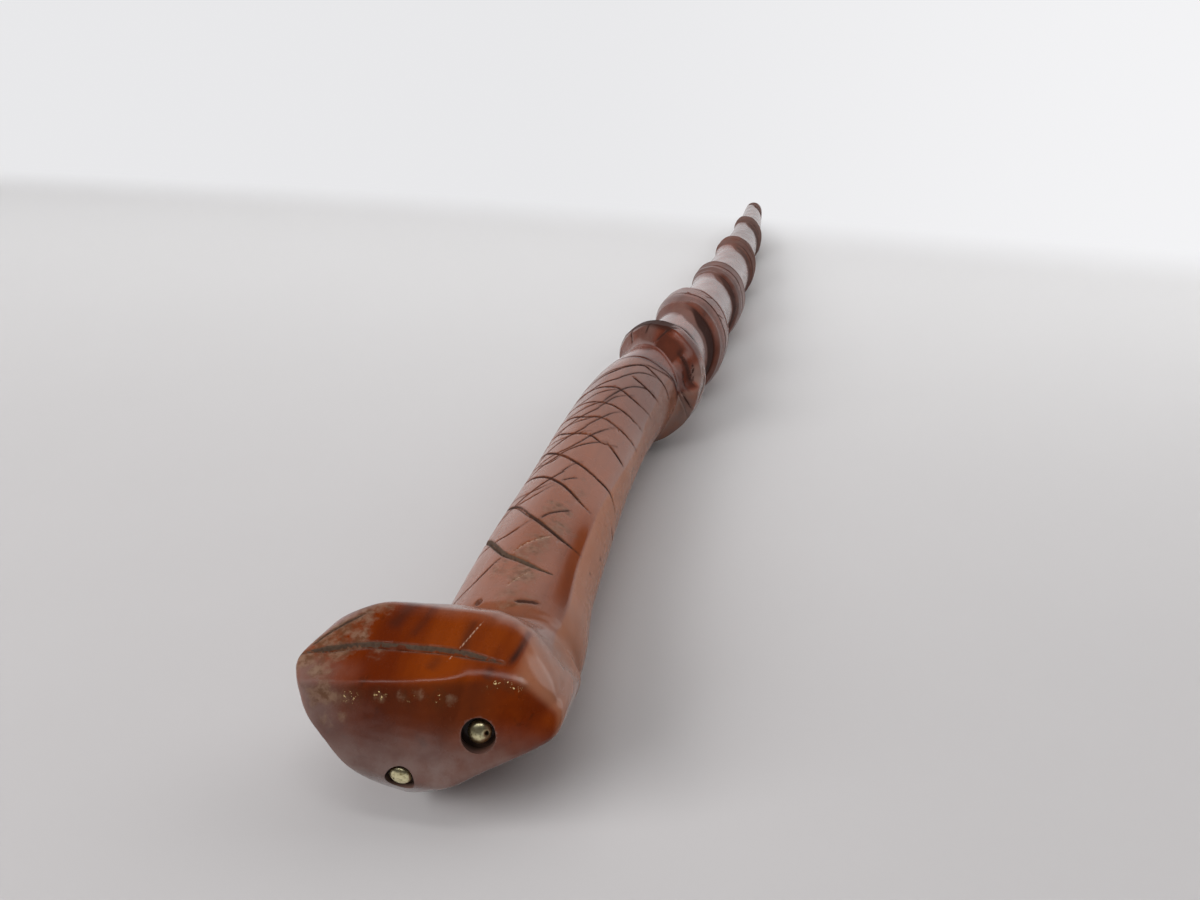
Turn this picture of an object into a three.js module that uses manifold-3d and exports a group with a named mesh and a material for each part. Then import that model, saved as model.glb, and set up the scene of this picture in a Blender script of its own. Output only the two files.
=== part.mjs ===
// Carved walking stick lying on its side, millimetres, +Z up.
// The stick runs along +Y from the handle to the tip, the snake's nose points to -X.
import * as THREE from "three";
import { mergeVertices } from "three/addons/utils/BufferGeometryUtils.js";
import Module from "manifold-3d";

const wasm = await Module();
wasm.setup();

// The line through the middle of the stick: the wood is slightly crooked.
// Each station: how far along, to the side, above the ground, and the round of the wood there.
const line = {
  inHead: { along: 28, side: -17, above: 24.6, round: 20.2 },
  neckStart: { along: 50, side: -17.5, above: 24.4, round: 21 },
  neckSwell: { along: 95, side: -18.4, above: 24.8, round: 21.6 },
  neckLow: { along: 155, side: -20, above: 25.8, round: 20.4 },
  neckHigh: { along: 210, side: -20.2, above: 26.9, round: 20.5 },
  neckEnd: { along: 255, side: -16.6, above: 28.2, round: 21.2 },
  firstCoil: { along: 300, side: -8.6, above: 28.4, round: 20.2 },
  secondCoil: { along: 380, side: -4.6, above: 26, round: 19.3 },
  thirdCoil: { along: 490, side: 1.2, above: 22.1, round: 17.7 },
  fourthCoil: { along: 610, side: 2.6, above: 18.7, round: 15.4 },
  fifthCoil: { along: 730, side: 2.4, above: 14.9, round: 12.3 },
  tail: { along: 810, side: 0.8, above: 11.6, round: 10.6 },
  tip: { along: 890, side: -2, above: 8.8, round: 8.8 },
};

// The head: a rounded block with one face for each flat that the carver left.
// Each face: the way it looks, and how far it stands from the head's middle.
const headMiddle = { side: -24, along: 21, above: 25 };
const headFaces = {
  cheek: { looks: [0.01, -0.12, 0.99], reach: 22.7 },
  crownByNose: { looks: [-0.05, -0.96, 0.28], reach: 24.6 },
  crownByBack: { looks: [0.26, -0.91, 0.32], reach: 22.8 },
  crownBelow: { looks: [-0.02, -0.94, -0.35], reach: 25.4 },
  brow: { looks: [-0.03, -0.64, -0.77], reach: 23.8 },
  snoutBelow: { looks: [-0.74, -0.11, -0.66], reach: 21.7 },
  nose: { looks: [-0.97, -0.21, -0.08], reach: 38.6 },
  noseSlope: { looks: [-0.74, 0.52, 0.42], reach: 40.9 },
  noseCorner: { looks: [-0.91, 0.38, 0.16], reach: 37.5 },
  chin: { looks: [-0.46, 0.87, 0.17], reach: 28.8 },
  throat: { looks: [-0.09, 1, 0.03], reach: 18.3 },
  underside: { looks: [-0.05, 0, -1], reach: 25.4 },
  heelBelow: { looks: [0.49, -0.29, -0.82], reach: 16.9 },
  heel: { looks: [1, 0.08, -0.01], reach: 35.6 },
  heelAbove: { looks: [0.61, -0.01, 0.79], reach: 30.5 },
};
const edgeSharpness = 16;

// The swelling where the head's heel runs into the neck.
const heelSwell = 7;
const heelSwellAlong = 46;
const heelSwellLength = 28;
const heelSwellTurn = 22;

// The flat between the scaled top of the neck and its plain side.
const neckFlat = 1.2;
const neckFlatTurn = 58;
const neckFlatSpread = 26;

// The coil: a band in relief that turns to the left along the stick.
const coilStart = 279;
const coilPitch = 82;
const coilPitchGrowth = 6.6;
const coilHeight = {
  first: { along: 300, height: 8.4 },
  second: { along: 385, height: 6.6 },
  third: { along: 490, height: 4 },
  fourth: { along: 610, height: 3.4 },
  fifth: { along: 730, height: 2.8 },
  tail: { along: 790, height: 2 },
  end: { along: 815, height: 0 },
};
const coilFlankFoot = 38;
const coilFlankTop = 12;
const firstFlankFoot = 17;
const firstFlankTop = 3;
const firstFlankLaps = 0.35;
const longFlankLaps = 0.85;
const coilCrestEnd = 4;
const coilBackFoot = 15;
const coilScoop = 0.9;
const coilFirstTurnShare = -0.34;
const coilFullTurnShare = 0.02;
const coilFlankHollowShare = 1.7;

// The joint between the two pieces of wood.
const seamAlong = 266;
const seamGap = 0.3;
const dowelRound = 6;
const dowelLength = 56;
const dowelClearance = 0.15;
const dowelEndClearance = 1;
const dowelChamfer = 0.8;

// The eyes: brass domes on nails, each at the bottom of a round socket.
// Each eye: the way it lies from the head's middle, how deep its socket is drilled at the middle,
// and how far its nail stands beside the middle of the socket.
const socketRound = 4.9;
const capRound = 3.3;
const capHeight = 2.3;
const capBoreRound = 0.95;
const capBoreDepth = 1.2;
const capGap = 0.1;
const nailRound = 0.8;
const nailLength = 12;
const nailPoint = 2.2;
const nailClearance = 0.1;
const nailHoleExtra = 0.4;
const eyes = {
  upper_eye: { side: 15.74, along: -17.12, above: 8.66, deep: 3.6, aside: 0.9 },
  lower_eye: { side: -4.65, along: -24.06, above: -4.98, deep: 1.7, aside: 0.5 },
};

// The mouth: one long cut in the cheek.
const mouthStart = { side: -62, along: 10.6 };
const mouthBend = { side: -43.2, along: 17 };
const mouthEnd = { side: -4.6, along: 18.3 };
const mouthWidth = 1.5;
const mouthDepth = 2;

// Wear: the wood is flattened a little where the stick lies and at the tip's rim.
const restFlat = 0.8;
const tipRim = 1.4;

// How finely the forms are built.
const ringSides = 30;
const neckSteps = 42;
const shaftSteps = 118;
const headAround = 56;
const headRings = 30;
const roundSides = 28;

const neckWood = new THREE.MeshStandardMaterial({ color: 0x7a3410, roughness: 0.3, metalness: 0 });
const shaftWood = new THREE.MeshStandardMaterial({ color: 0x74331a, roughness: 0.32, metalness: 0 });
const dowelWood = new THREE.MeshStandardMaterial({ color: 0xb98d5c, roughness: 0.7, metalness: 0 });
const brass = new THREE.MeshStandardMaterial({ color: 0xb8a05a, roughness: 0.3, metalness: 1 });
const steel = new THREE.MeshStandardMaterial({ color: 0x8d8c88, roughness: 0.4, metalness: 1 });

// Smooth value along the stick from a set of stations.
function smoothAt(stations, key, along) {
  const list = Object.values(stations);
  const last = list.length - 1;
  if (along <= list[0].along) return list[0][key];
  if (along >= list[last].along) return list[last][key];
  let i = 0;
  while (list[i + 1].along < along) i += 1;
  const slope = (k) => {
    const before = list[Math.max(k - 1, 0)];
    const after = list[Math.min(k + 1, last)];
    return (after[key] - before[key]) / (after.along - before.along);
  };
  const here = list[i];
  const next = list[i + 1];
  const span = next.along - here.along;
  const t = (along - here.along) / span;
  const keep = (1 + 2 * t) * (1 - t) * (1 - t);
  const reach = t * t * (3 - 2 * t);
  const leave = t * (1 - t) * (1 - t) * span;
  const arrive = t * t * (t - 1) * span;
  return keep * here[key] + reach * next[key] + leave * slope(i) + arrive * slope(i + 1);
}

function smoothStep(from, to, value) {
  const t = Math.min(Math.max((value - from) / (to - from), 0), 1);
  return t * t * (3 - 2 * t);
}

// How much the band stands out at a place along the stick and a turn round it.
function coilRelief(along, turn) {
  const share = turn / (2 * Math.PI);
  let relief = 0;
  for (let lap = -1; lap <= 5; lap += 1) {
    const laps = lap + share;
    const middle = coilStart + coilPitch * laps + coilPitchGrowth * laps * laps;
    const away = along - middle;
    const longer = smoothStep(firstFlankLaps, longFlankLaps, laps);
    const flankFoot = firstFlankFoot + (coilFlankFoot - firstFlankFoot) * longer;
    const flankTop = firstFlankTop + (coilFlankTop - firstFlankTop) * longer;
    if (away < -flankFoot || away > coilBackFoot) continue;
    const grown = smoothStep(coilFirstTurnShare, coilFullTurnShare, laps);
    const height = smoothAt(coilHeight, "height", Math.max(middle, coilHeight.first.along)) * grown;
    let rise = 1;
    if (away < -flankTop) {
      const t = (away + flankFoot) / (flankFoot - flankTop);
      rise = Math.pow(t, coilFlankHollowShare) - (coilScoop / coilHeight.first.height) * Math.sin(Math.PI * t);
    } else if (away > coilCrestEnd) {
      rise = 1 - smoothStep(coilCrestEnd, coilBackFoot, away);
    }
    relief = Math.abs(height * rise) > Math.abs(relief) ? height * rise : relief;
  }
  return relief;
}

// The outside of the stick: the round of the wood, its flats, the heel's swelling and the band.
function stickRound(along, turn) {
  const base = smoothAt(line, "round", along);
  const swellFade = Math.exp(-Math.pow((along - heelSwellAlong) / heelSwellLength, 2));
  const swellSide = Math.pow(Math.max(Math.cos(turn - (heelSwellTurn * Math.PI) / 180), 0), 2);
  const flatAway = ((((turn * 180) / Math.PI - neckFlatTurn) % 360) + 540) % 360 - 180;
  const onNeck = 1 - smoothStep(line.neckEnd.along, line.firstCoil.along, along);
  const flat = neckFlat * Math.exp(-Math.pow(flatAway / neckFlatSpread, 2)) * onNeck;
  return base + heelSwell * swellFade * swellSide - flat + coilRelief(along, turn);
}

// A closed body of rings from one station to another, each ring across the stick.
function stickBody(from, to, steps, rim) {
  const points = [];
  const faces = [];
  const stops = [];
  for (let i = 0; i <= steps; i += 1) stops.push({ along: from + ((to - from) * i) / steps, in: 0 });
  if (rim > 0) {
    stops[steps].along = to - rim;
    stops.push({ along: to, in: rim });
  }
  for (const stop of stops) {
    const side = smoothAt(line, "side", stop.along);
    const above = smoothAt(line, "above", stop.along);
    for (let k = 0; k < ringSides; k += 1) {
      const turn = (2 * Math.PI * k) / ringSides;
      const round = stickRound(stop.along, turn) - stop.in;
      points.push(side + round * Math.cos(turn), stop.along, above + round * Math.sin(turn));
    }
  }
  for (let i = 0; i + 1 < stops.length; i += 1) {
    for (let k = 0; k < ringSides; k += 1) {
      const a = i * ringSides + k;
      const b = i * ringSides + ((k + 1) % ringSides);
      faces.push(a, a + ringSides, b);
      faces.push(b, a + ringSides, b + ringSides);
    }
  }
  const first = points.length / 3;
  points.push(smoothAt(line, "side", stops[0].along), stops[0].along, smoothAt(line, "above", stops[0].along));
  const end = stops[stops.length - 1].along;
  points.push(smoothAt(line, "side", end), end, smoothAt(line, "above", end));
  const lastRing = (stops.length - 1) * ringSides;
  for (let k = 0; k < ringSides; k += 1) {
    const next = (k + 1) % ringSides;
    faces.push(first, k, next);
    faces.push(first + 1, lastRing + next, lastRing + k);
  }
  return bodyFrom(points, faces);
}

function bodyFrom(points, faces) {
  const geometry = new THREE.BufferGeometry();
  geometry.setAttribute("position", new THREE.Float32BufferAttribute(points, 3));
  geometry.setIndex(faces);
  return geometry;
}

const faceList = Object.values(headFaces).map((face) => ({
  looks: new THREE.Vector3(...face.looks).normalize(),
  reach: face.reach,
}));
const middle = new THREE.Vector3(headMiddle.side, headMiddle.along, headMiddle.above);

// How far the head's surface is from its middle in one direction, with rounded edges.
function headReach(direction) {
  let sum = 0;
  for (const face of faceList) {
    const lean = Math.max(face.looks.dot(direction), 0) / face.reach;
    sum += Math.pow(lean, edgeSharpness);
  }
  return Math.pow(sum, -1 / edgeSharpness);
}

function headBody() {
  const points = [];
  const faces = [];
  const place = (direction) => {
    const p = direction.clone().multiplyScalar(headReach(direction)).add(middle);
    points.push(p.x, p.y, p.z);
  };
  for (let i = 1; i < headRings; i += 1) {
    const fall = (Math.PI * i) / headRings;
    for (let k = 0; k < headAround; k += 1) {
      const turn = (2 * Math.PI * k) / headAround;
      const flat = Math.sin(fall);
      place(new THREE.Vector3(flat * Math.cos(turn), Math.cos(fall), -flat * Math.sin(turn)));
    }
  }
  const first = points.length / 3;
  place(new THREE.Vector3(0, 1, 0));
  place(new THREE.Vector3(0, -1, 0));
  for (let i = 0; i + 2 < headRings; i += 1) {
    for (let k = 0; k < headAround; k += 1) {
      const next = (k + 1) % headAround;
      const a = i * headAround + k;
      const b = i * headAround + next;
      faces.push(a, a + headAround, b);
      faces.push(b, a + headAround, b + headAround);
    }
  }
  const lastRing = (headRings - 2) * headAround;
  for (let k = 0; k < headAround; k += 1) {
    const next = (k + 1) % headAround;
    faces.push(first, k, next);
    faces.push(first + 1, lastRing + next, lastRing + k);
  }
  return bodyFrom(points, faces);
}

function solid(geometry) {
  const bare = geometry.clone();
  bare.deleteAttribute("normal");
  bare.deleteAttribute("uv");
  const joined = mergeVertices(bare, seamGap / 1000);
  const index = joined.index.array;
  return new wasm.Manifold(new wasm.Mesh({
    numProp: 3,
    vertProperties: new Float32Array(joined.attributes.position.array),
    triVerts: new Uint32Array(index),
  }));
}

function geometryOf(body) {
  const mesh = body.getMesh();
  const geometry = new THREE.BufferGeometry();
  const count = mesh.vertProperties.length / mesh.numProp;
  const places = new Float32Array(count * 3);
  for (let i = 0; i < count; i += 1) {
    for (let k = 0; k < 3; k += 1) places[i * 3 + k] = mesh.vertProperties[i * mesh.numProp + k];
  }
  geometry.setAttribute("position", new THREE.BufferAttribute(places, 3));
  geometry.setIndex(new THREE.BufferAttribute(new Uint32Array(mesh.triVerts), 1));
  return geometry;
}

// Turn a form that stands along +Y so that it stands along a direction at a place.
function placed(geometry, at, direction) {
  const turn = new THREE.Quaternion().setFromUnitVectors(new THREE.Vector3(0, 1, 0), direction);
  return geometry.applyQuaternion(turn).translate(at.x, at.y, at.z);
}

// A round bar or cone from a profile of [round, height] pairs.
function turned(profile) {
  return new THREE.LatheGeometry(profile.map(([r, h]) => new THREE.Vector2(r, h)), roundSides);
}

// The spot of an eye on the head and the way the wood faces there.
function eyeSpot(eye) {
  const direction = new THREE.Vector3(eye.side, eye.along, eye.above).normalize();
  const at = direction.clone().multiplyScalar(headReach(direction)).add(middle);
  const outward = new THREE.Vector3();
  for (const face of faceList) {
    const lean = Math.max(face.looks.dot(direction), 0) / face.reach;
    outward.addScaledVector(face.looks, Math.pow(lean, edgeSharpness - 1) / face.reach);
  }
  return { at, outward: outward.normalize() };
}

const wood = {};
wood.handle = solid(headBody());
wood.handle = wood.handle.add(solid(stickBody(line.inHead.along, seamAlong - seamGap / 2, neckSteps, 0)));
wood.shaft = solid(stickBody(seamAlong + seamGap / 2, line.tip.along, shaftSteps, tipRim));

// The dowel and its bores.
const seamMiddle = new THREE.Vector3(
  smoothAt(line, "side", seamAlong),
  seamAlong,
  smoothAt(line, "above", seamAlong),
);
const alongStick = new THREE.Vector3(0, 1, 0);
function bar(round, length) {
  return turned([[0, -length / 2], [round, -length / 2], [round, length / 2], [0, length / 2]]);
}
const bore = solid(placed(bar(dowelRound + dowelClearance, dowelLength + 2 * dowelEndClearance), seamMiddle, alongStick));
wood.handle = wood.handle.subtract(bore);
wood.shaft = wood.shaft.subtract(bore);
const dowelHalf = dowelLength / 2;
const dowel = placed(turned([
  [0, -dowelHalf],
  [dowelRound - dowelChamfer, -dowelHalf],
  [dowelRound, -dowelHalf + dowelChamfer],
  [dowelRound, dowelHalf - dowelChamfer],
  [dowelRound - dowelChamfer, dowelHalf],
  [0, dowelHalf],
]), seamMiddle, alongStick);

// The eyes.
const eyeParts = {};
for (const [name, eye] of Object.entries(eyes)) {
  const spot = eyeSpot(eye);
  const floor = spot.at.clone().addScaledVector(spot.outward, -eye.deep);
  const socket = turned([[0, 0], [socketRound, 0], [socketRound, 2 * eye.deep], [0, 2 * eye.deep]]);
  wood.handle = wood.handle.subtract(solid(placed(socket, floor, spot.outward)));
  const aside = new THREE.Vector3(1, 0, 0);
  aside.addScaledVector(spot.outward, -aside.dot(spot.outward)).normalize();
  floor.addScaledVector(aside, eye.aside);
  const holeDepth = nailLength + nailHoleExtra;
  const holeRound = nailRound + nailClearance;
  const hole = turned([[0, -holeDepth], [holeRound, -holeDepth], [holeRound, capGap], [0, capGap]]);
  wood.handle = wood.handle.subtract(solid(placed(hole, floor, spot.outward)));
  const seat = floor.clone().addScaledVector(spot.outward, capGap);
  const cap = [[0, capBoreDepth], [capBoreRound, capBoreDepth], [capBoreRound, 0], [capRound, 0]];
  const domeSteps = 8;
  for (let i = 1; i <= domeSteps; i += 1) {
    const rise = (Math.PI / 2) * (i / domeSteps);
    cap.push([i === domeSteps ? 0 : capRound * Math.cos(rise), capHeight * Math.sin(rise)]);
  }
  const nailTop = capBoreDepth - capGap;
  const nail = turned([
    [0, -nailLength],
    [nailRound, -nailLength + nailPoint],
    [nailRound, nailTop],
    [0, nailTop],
  ]);
  eyeParts[name] = { cap: placed(turned(cap), seat, spot.outward), nail: placed(nail, seat, spot.outward) };
}

// The mouth: a long wedge, widest at its bend, sunk into the cheek.
function mouthCut() {
  const outline = [];
  const stops = [mouthStart, mouthBend, mouthEnd];
  const level = middle.z + headFaces.cheek.reach - mouthDepth;
  const shape = new THREE.Shape();
  shape.moveTo(stops[0].side, stops[0].along - mouthWidth / 2);
  shape.lineTo(stops[1].side, stops[1].along - mouthWidth / 2);
  shape.lineTo(stops[2].side, stops[2].along);
  shape.lineTo(stops[1].side, stops[1].along + mouthWidth / 2);
  shape.lineTo(stops[0].side, stops[0].along + mouthWidth / 2);
  shape.closePath();
  outline.push(shape);
  const cut = new THREE.ExtrudeGeometry(outline, { depth: 4 * mouthDepth, bevelEnabled: false });
  return cut.translate(0, 0, level);
}
wood.handle = wood.handle.subtract(solid(mouthCut()));

// Wear flats: what lies lower than the ground line is rubbed away.
const box = new THREE.Box3();
for (const body of Object.values(wood)) box.union(new THREE.Box3().setFromBufferAttribute(geometryOf(body).attributes.position));
const ground = restFlat;
const size = box.getSize(new THREE.Vector3());
const centre = box.getCenter(new THREE.Vector3());
const under = new THREE.BoxGeometry(2 * size.x, 2 * size.y, size.z).translate(centre.x, centre.y, ground - size.z / 2);
for (const name of Object.keys(wood)) wood[name] = wood[name].subtract(solid(under));

// The origin is the middle of the underside of the whole stick.
const worn = new THREE.Box3();
for (const body of Object.values(wood)) worn.union(new THREE.Box3().setFromBufferAttribute(geometryOf(body).attributes.position));
for (const parts of Object.values(eyeParts)) worn.union(new THREE.Box3().setFromBufferAttribute(parts.cap.attributes.position));
const home = worn.getCenter(new THREE.Vector3());
const stick = new THREE.Group();
stick.name = "walking_stick";
function addPiece(name, geometry, material) {
  const moved = geometry.translate(-home.x, -home.y, -worn.min.z);
  moved.computeVertexNormals();
  const mesh = new THREE.Mesh(moved, material);
  mesh.name = name;
  stick.add(mesh);
}
addPiece("handle", geometryOf(wood.handle), neckWood);
addPiece("shaft", geometryOf(wood.shaft), shaftWood);
addPiece("joint_dowel", dowel, dowelWood);
for (const [name, parts] of Object.entries(eyeParts)) {
  addPiece(`${name}_cap`, parts.cap, brass);
  addPiece(`${name}_nail`, parts.nail, steel);
}

export default stick;
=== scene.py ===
import contextlib
import math

import bmesh
import bpy
import numpy as np
from mathutils import Matrix, Vector


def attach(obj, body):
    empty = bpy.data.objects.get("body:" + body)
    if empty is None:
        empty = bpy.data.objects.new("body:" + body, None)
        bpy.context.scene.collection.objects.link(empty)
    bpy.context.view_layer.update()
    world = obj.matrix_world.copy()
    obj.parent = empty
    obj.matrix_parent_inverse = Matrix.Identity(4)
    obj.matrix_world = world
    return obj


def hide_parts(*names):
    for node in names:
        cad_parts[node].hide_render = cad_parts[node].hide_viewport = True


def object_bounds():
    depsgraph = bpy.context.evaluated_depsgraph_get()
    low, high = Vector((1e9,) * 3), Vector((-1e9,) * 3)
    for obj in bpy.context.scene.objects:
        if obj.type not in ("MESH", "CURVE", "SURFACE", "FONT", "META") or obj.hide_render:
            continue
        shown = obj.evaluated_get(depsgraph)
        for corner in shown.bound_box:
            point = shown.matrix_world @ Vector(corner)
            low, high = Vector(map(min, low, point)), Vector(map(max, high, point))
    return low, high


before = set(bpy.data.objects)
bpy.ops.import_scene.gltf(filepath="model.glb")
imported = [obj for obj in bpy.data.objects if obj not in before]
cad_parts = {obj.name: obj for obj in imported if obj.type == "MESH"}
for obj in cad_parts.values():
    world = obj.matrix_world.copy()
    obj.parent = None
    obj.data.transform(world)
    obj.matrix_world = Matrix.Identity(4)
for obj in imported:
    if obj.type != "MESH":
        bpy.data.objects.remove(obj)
cad_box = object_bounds()

# The stick is worked out in millimetres, with y along the stick from the head to the tip.
# This is where that frame's zero lies in the model's frame.
HOME = np.array([19.6465, -442.8883, -0.8])

# The camera: its place, how far it looks down and aside in radians, and its focal length in pixels of
# the photograph's width.
CAMERA_PLACE = np.array([66.386, -177.55, 206.531])
CAMERA_DOWN, CAMERA_ASIDE = 0.4355219, 0.2244075
FOCAL_LENGTH, PHOTO_WIDTH = 936.53, 1200
SENSOR_WIDTH = 36

# The form of the wood
# The stick's middle line and the radius of its round blank, at places along it.
LINE = {
    "along": [28, 50, 95, 155, 210, 255, 300, 380, 490, 610, 730, 810, 890],
    "side": [-17, -17.5, -18.4, -20, -20.2, -16.6, -8.6, -4.6, 1.2, 2.6, 2.4, 0.8, -2],
    "above": [24.6, 24.4, 24.8, 25.8, 26.9, 28.2, 28.4, 26, 22.1, 18.7, 14.9, 11.6, 8.8],
    "round": [20.2, 21, 21.6, 20.4, 20.5, 21.2, 20.2, 19.3, 17.7, 15.4, 12.3, 10.6, 8.8],
}
# How high the coil stands out of the round.
COIL_HEIGHT = {
    "along": [300, 385, 490, 610, 730, 790, 815],
    "height": [8.4, 6.6, 4, 3.4, 2.8, 2, 0],
}
# The coil's middle where it first crosses the right side, its climb in one turn, and how that climb grows.
COIL_START, COIL_PITCH, COIL_GROWTH = 279, 82, 6.6
# The turn, in degrees, of the ridge between the scaled top of the neck and its plain side.
NECK_RIDGE = {
    "along": [40, 60, 90, 125, 150, 175, 198, 215, 232, 250],
    "turn": [39, 38, 38, 37, 30, 23, 20, 25, 28, 34],
}
# The neck's blank starts inside the head, handle and shaft meet at the seam, and the shaft ends at the tip.
NECK_START = 31
SEAM = 266
SEAM_GAP = 0.3
TIP = 890
TIP_ROUNDING = 1.4
HEAD_MIDDLE = np.array([-24, 21, 25.0])
# The head is cut with flat faces: which way each looks, and how far it lies from the head's middle.
HEAD_FACES = {
    "cheek": ([0.003, -0.251, 0.968], 23.8),
    "crown_by_nose": ([0.109, -0.944, 0.313], 21.6),
    "crown_by_neck": ([0.18, -0.842, 0.508], 23),
    "crown_below": ([-0.008, -0.948, -0.317], 25.4),
    "brow": ([0.002, -0.791, -0.612], 23.9),
    "snout_below": ([-0.747, -0.163, -0.644], 20.9),
    "nose": ([-0.846, -0.522, -0.109], 37.3),
    "nose_slope": ([-0.469, 0.11, 0.877], 35.6),
    "nose_corner": ([-0.992, 0.104, 0.078], 38.6),
    "chin": ([-0.361, 0.865, 0.349], 27.4),
    "throat": ([0.071, 0.991, -0.11], 18.3),
    "underside": ([-0.05, 0, -0.999], 25.4),
    "heel_below": ([0.514, -0.256, -0.819], 15.8),
    "heel": ([0.95, -0.013, -0.311], 32.6),
    "heel_above": ([0.499, -0.173, 0.849], 33.4),
    "heel_back": ([0.72, 0.42, 0.55], 35.2),
    "bevel": ([-0.02, 0.509, 0.861], 29),
}
# How sharp the edges between those faces are; the heel's are softer.
HEAD_SHARPNESS = 36
HEEL_SHARPNESS = 12
# How much varnish is left on each face; 1 where a face isn't named.
FACE_VARNISH = {
    "cheek": 0.3, "crown_by_nose": 0.8, "crown_by_neck": 0.6,
    "heel_back": 0.7, "nose_slope": 0.5, "bevel": 0.7,
}

# The holes, a little wider than what they hold; the dowel's reaches this far into each piece of wood.
DOWEL_HOLE, DOWEL_HOLE_DEPTH = 6.15, 29
NAIL_HOLE = 0.9
# The eyes: the socket's middle on the wood, which way it looks, its radius and depth, how far the dome sits
# aside, the dome's radius and height, its dent, and the point and the top of the nail.
EYES = {
    "upper_eye": {
        "spot": [-8.034, 3.434, 33.085], "way": [0.257, -0.9119, 0.3201], "socket": 4.7, "deep": 3.6,
        "aside": 0.2, "cap": 3.3, "height": 2.6, "dent": (2, 0.25, 2.15), "dent_size": 0.85, "seed": 2.0,
        "nail": [(-11.251, 18.351, 28.618), (-7.781, 6.041, 32.94)]},
    "lower_eye": {
        "spot": [-28.727, -3.459, 19.538], "way": [-0.0008, -0.9724, -0.2333], "socket": 4.2, "deep": 2.2,
        "aside": -0.4, "cap": 3.2, "height": 1.95, "dent": (-1.6, -0.3, 1.7), "dent_size": 0.45, "seed": 7.0,
        "nail": [(-28.216, 10.295, 22.552), (-28.227, -2.968, 20.031)]},
}

# How fine the meshes are: rings and sides of the head, sides of the shaft, the squares that head and neck
# are joined up in, the triangles in each piece of wood, and the angle past which an edge stays sharp.
HEAD_RINGS, HEAD_SIDES, SHAFT_SIDES = 90, 150, 220
HANDLE_GRID = 0.5
HANDLE_TRIANGLES, SHAFT_TRIANGLES = 188000, 192000
HANDLE_CREASE, SHAFT_CREASE, DOME_CREASE = 40, 44, 50
# Where the handle's field is below the first of these, a point lies in a hole; above the second, on the skin.
HOLE_FIELD, SKIN_FIELD = -0.25, -2.6


def smooth_at(stops, values, at):
    """A smooth curve through the stations."""
    stops = np.asarray(stops, float)
    values = np.asarray(values, float)
    at = np.clip(np.asarray(at, float), stops[0], stops[-1])
    i = np.clip(np.searchsorted(stops, at, side="left") - 1, 0, len(stops) - 2)
    before = np.maximum(np.arange(len(stops)) - 1, 0)
    after = np.minimum(np.arange(len(stops)) + 1, len(stops) - 1)
    slope = (values[after] - values[before]) / (stops[after] - stops[before])
    span = stops[i + 1] - stops[i]
    t = (at - stops[i]) / span
    keep = (1 + 2 * t) * (1 - t) ** 2 * values[i] + t * t * (3 - 2 * t) * values[i + 1]
    return keep + t * (1 - t) ** 2 * span * slope[i] + t * t * (t - 1) * span * slope[i + 1]


def ease(start, end, value):
    """From 0 at start to 1 at end, gently at both."""
    t = np.clip((value - start) / (end - start), 0, 1)
    return t * t * (3 - 2 * t)


def within(start, full, fading, end, value):
    """1 from full to fading, and gently down to 0 at start and at end."""
    return ease(start, full, value) * (1 - ease(fading, end, value))


def side_at(along):
    return smooth_at(LINE["along"], LINE["side"], along)


def above_at(along):
    return smooth_at(LINE["along"], LINE["above"], along)


def round_at(along):
    return smooth_at(LINE["along"], LINE["round"], along)


def neck_ridge(along):
    return smooth_at(NECK_RIDGE["along"], NECK_RIDGE["turn"], along)


def degrees_from(turn, middle):
    """How far a turn in radians is from one in degrees: -180 to 180 degrees."""
    return (np.degrees(turn) - middle + 540) % 360 - 180


def waver(points, size, seed, count=14):
    """A gentle unevenness between about -1 and 1, for wood that was shaped by hand."""
    rng = np.random.default_rng(seed)
    ways = rng.normal(size=(count, 3))
    ways /= np.linalg.norm(ways, axis=1)[:, None]
    ways *= (2 * np.pi / size) * rng.uniform(0.6, 1.5, count)[:, None]
    phase = rng.uniform(0, 2 * np.pi, count)
    total = np.zeros(len(points))
    for way, start in zip(ways, phase):
        total += np.sin(points @ way + start)
    return total * (2 / count) ** 0.5 * 0.6


def coil_middle(laps):
    """Where the middle of the coil's top is, after this many turns round the stick."""
    return COIL_START + COIL_PITCH * laps + COIL_GROWTH * laps * laps


def coil_relief(laps, away):
    """How far the coil stands out of the round, at a distance from its middle."""
    longer = ease(0.35, 0.85, laps)
    # on the first turn the flank is a pocket that starts in a notch
    pocket = 4 * ease(0.22, 0.36, laps) + 5 * (1 - ease(0.005, 0.05, laps))
    top = 3 + pocket + (9.5 - pocket) * longer
    foot = 17 + 21 * longer + 9 * longer * (1 - ease(1.12, 1.28, laps))
    height = smooth_at(COIL_HEIGHT["along"], COIL_HEIGHT["height"], coil_middle(laps))
    height = height * ease(-0.34, 0.02, laps)
    t = np.clip((away + foot) / (foot - top), 0, 1)
    short = t ** 1.7 - 0.1 * np.sin(np.pi * t)
    # the later turns step up to their top, except where they are plain
    long = 0.26 * ease(-foot, -28, away) + 0.5 * ease(-27.5, -22.5, away) + 0.24 * ease(-22.5, -12, away)
    part = laps - np.round(laps)
    plain = ease(0.17, 0.27, part) + ease(-0.2, -0.3, part)
    whole = 0.5 * ease(-foot, -24, away) + 0.5 * ease(-33, -12, away)
    long = long + (whole - long) * plain
    rise = short + (long - short) * longer
    level = 1 - 0.22 * ease(0.2, 0.3, laps) * (1 - longer) * ease(-3, -9, away)
    fall = level * (1 - ease(4, 14, away))
    rise = np.where(away < -top, rise * level, fall)
    return np.where((away >= -foot) & (away <= 15), height * rise, 0)


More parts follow.
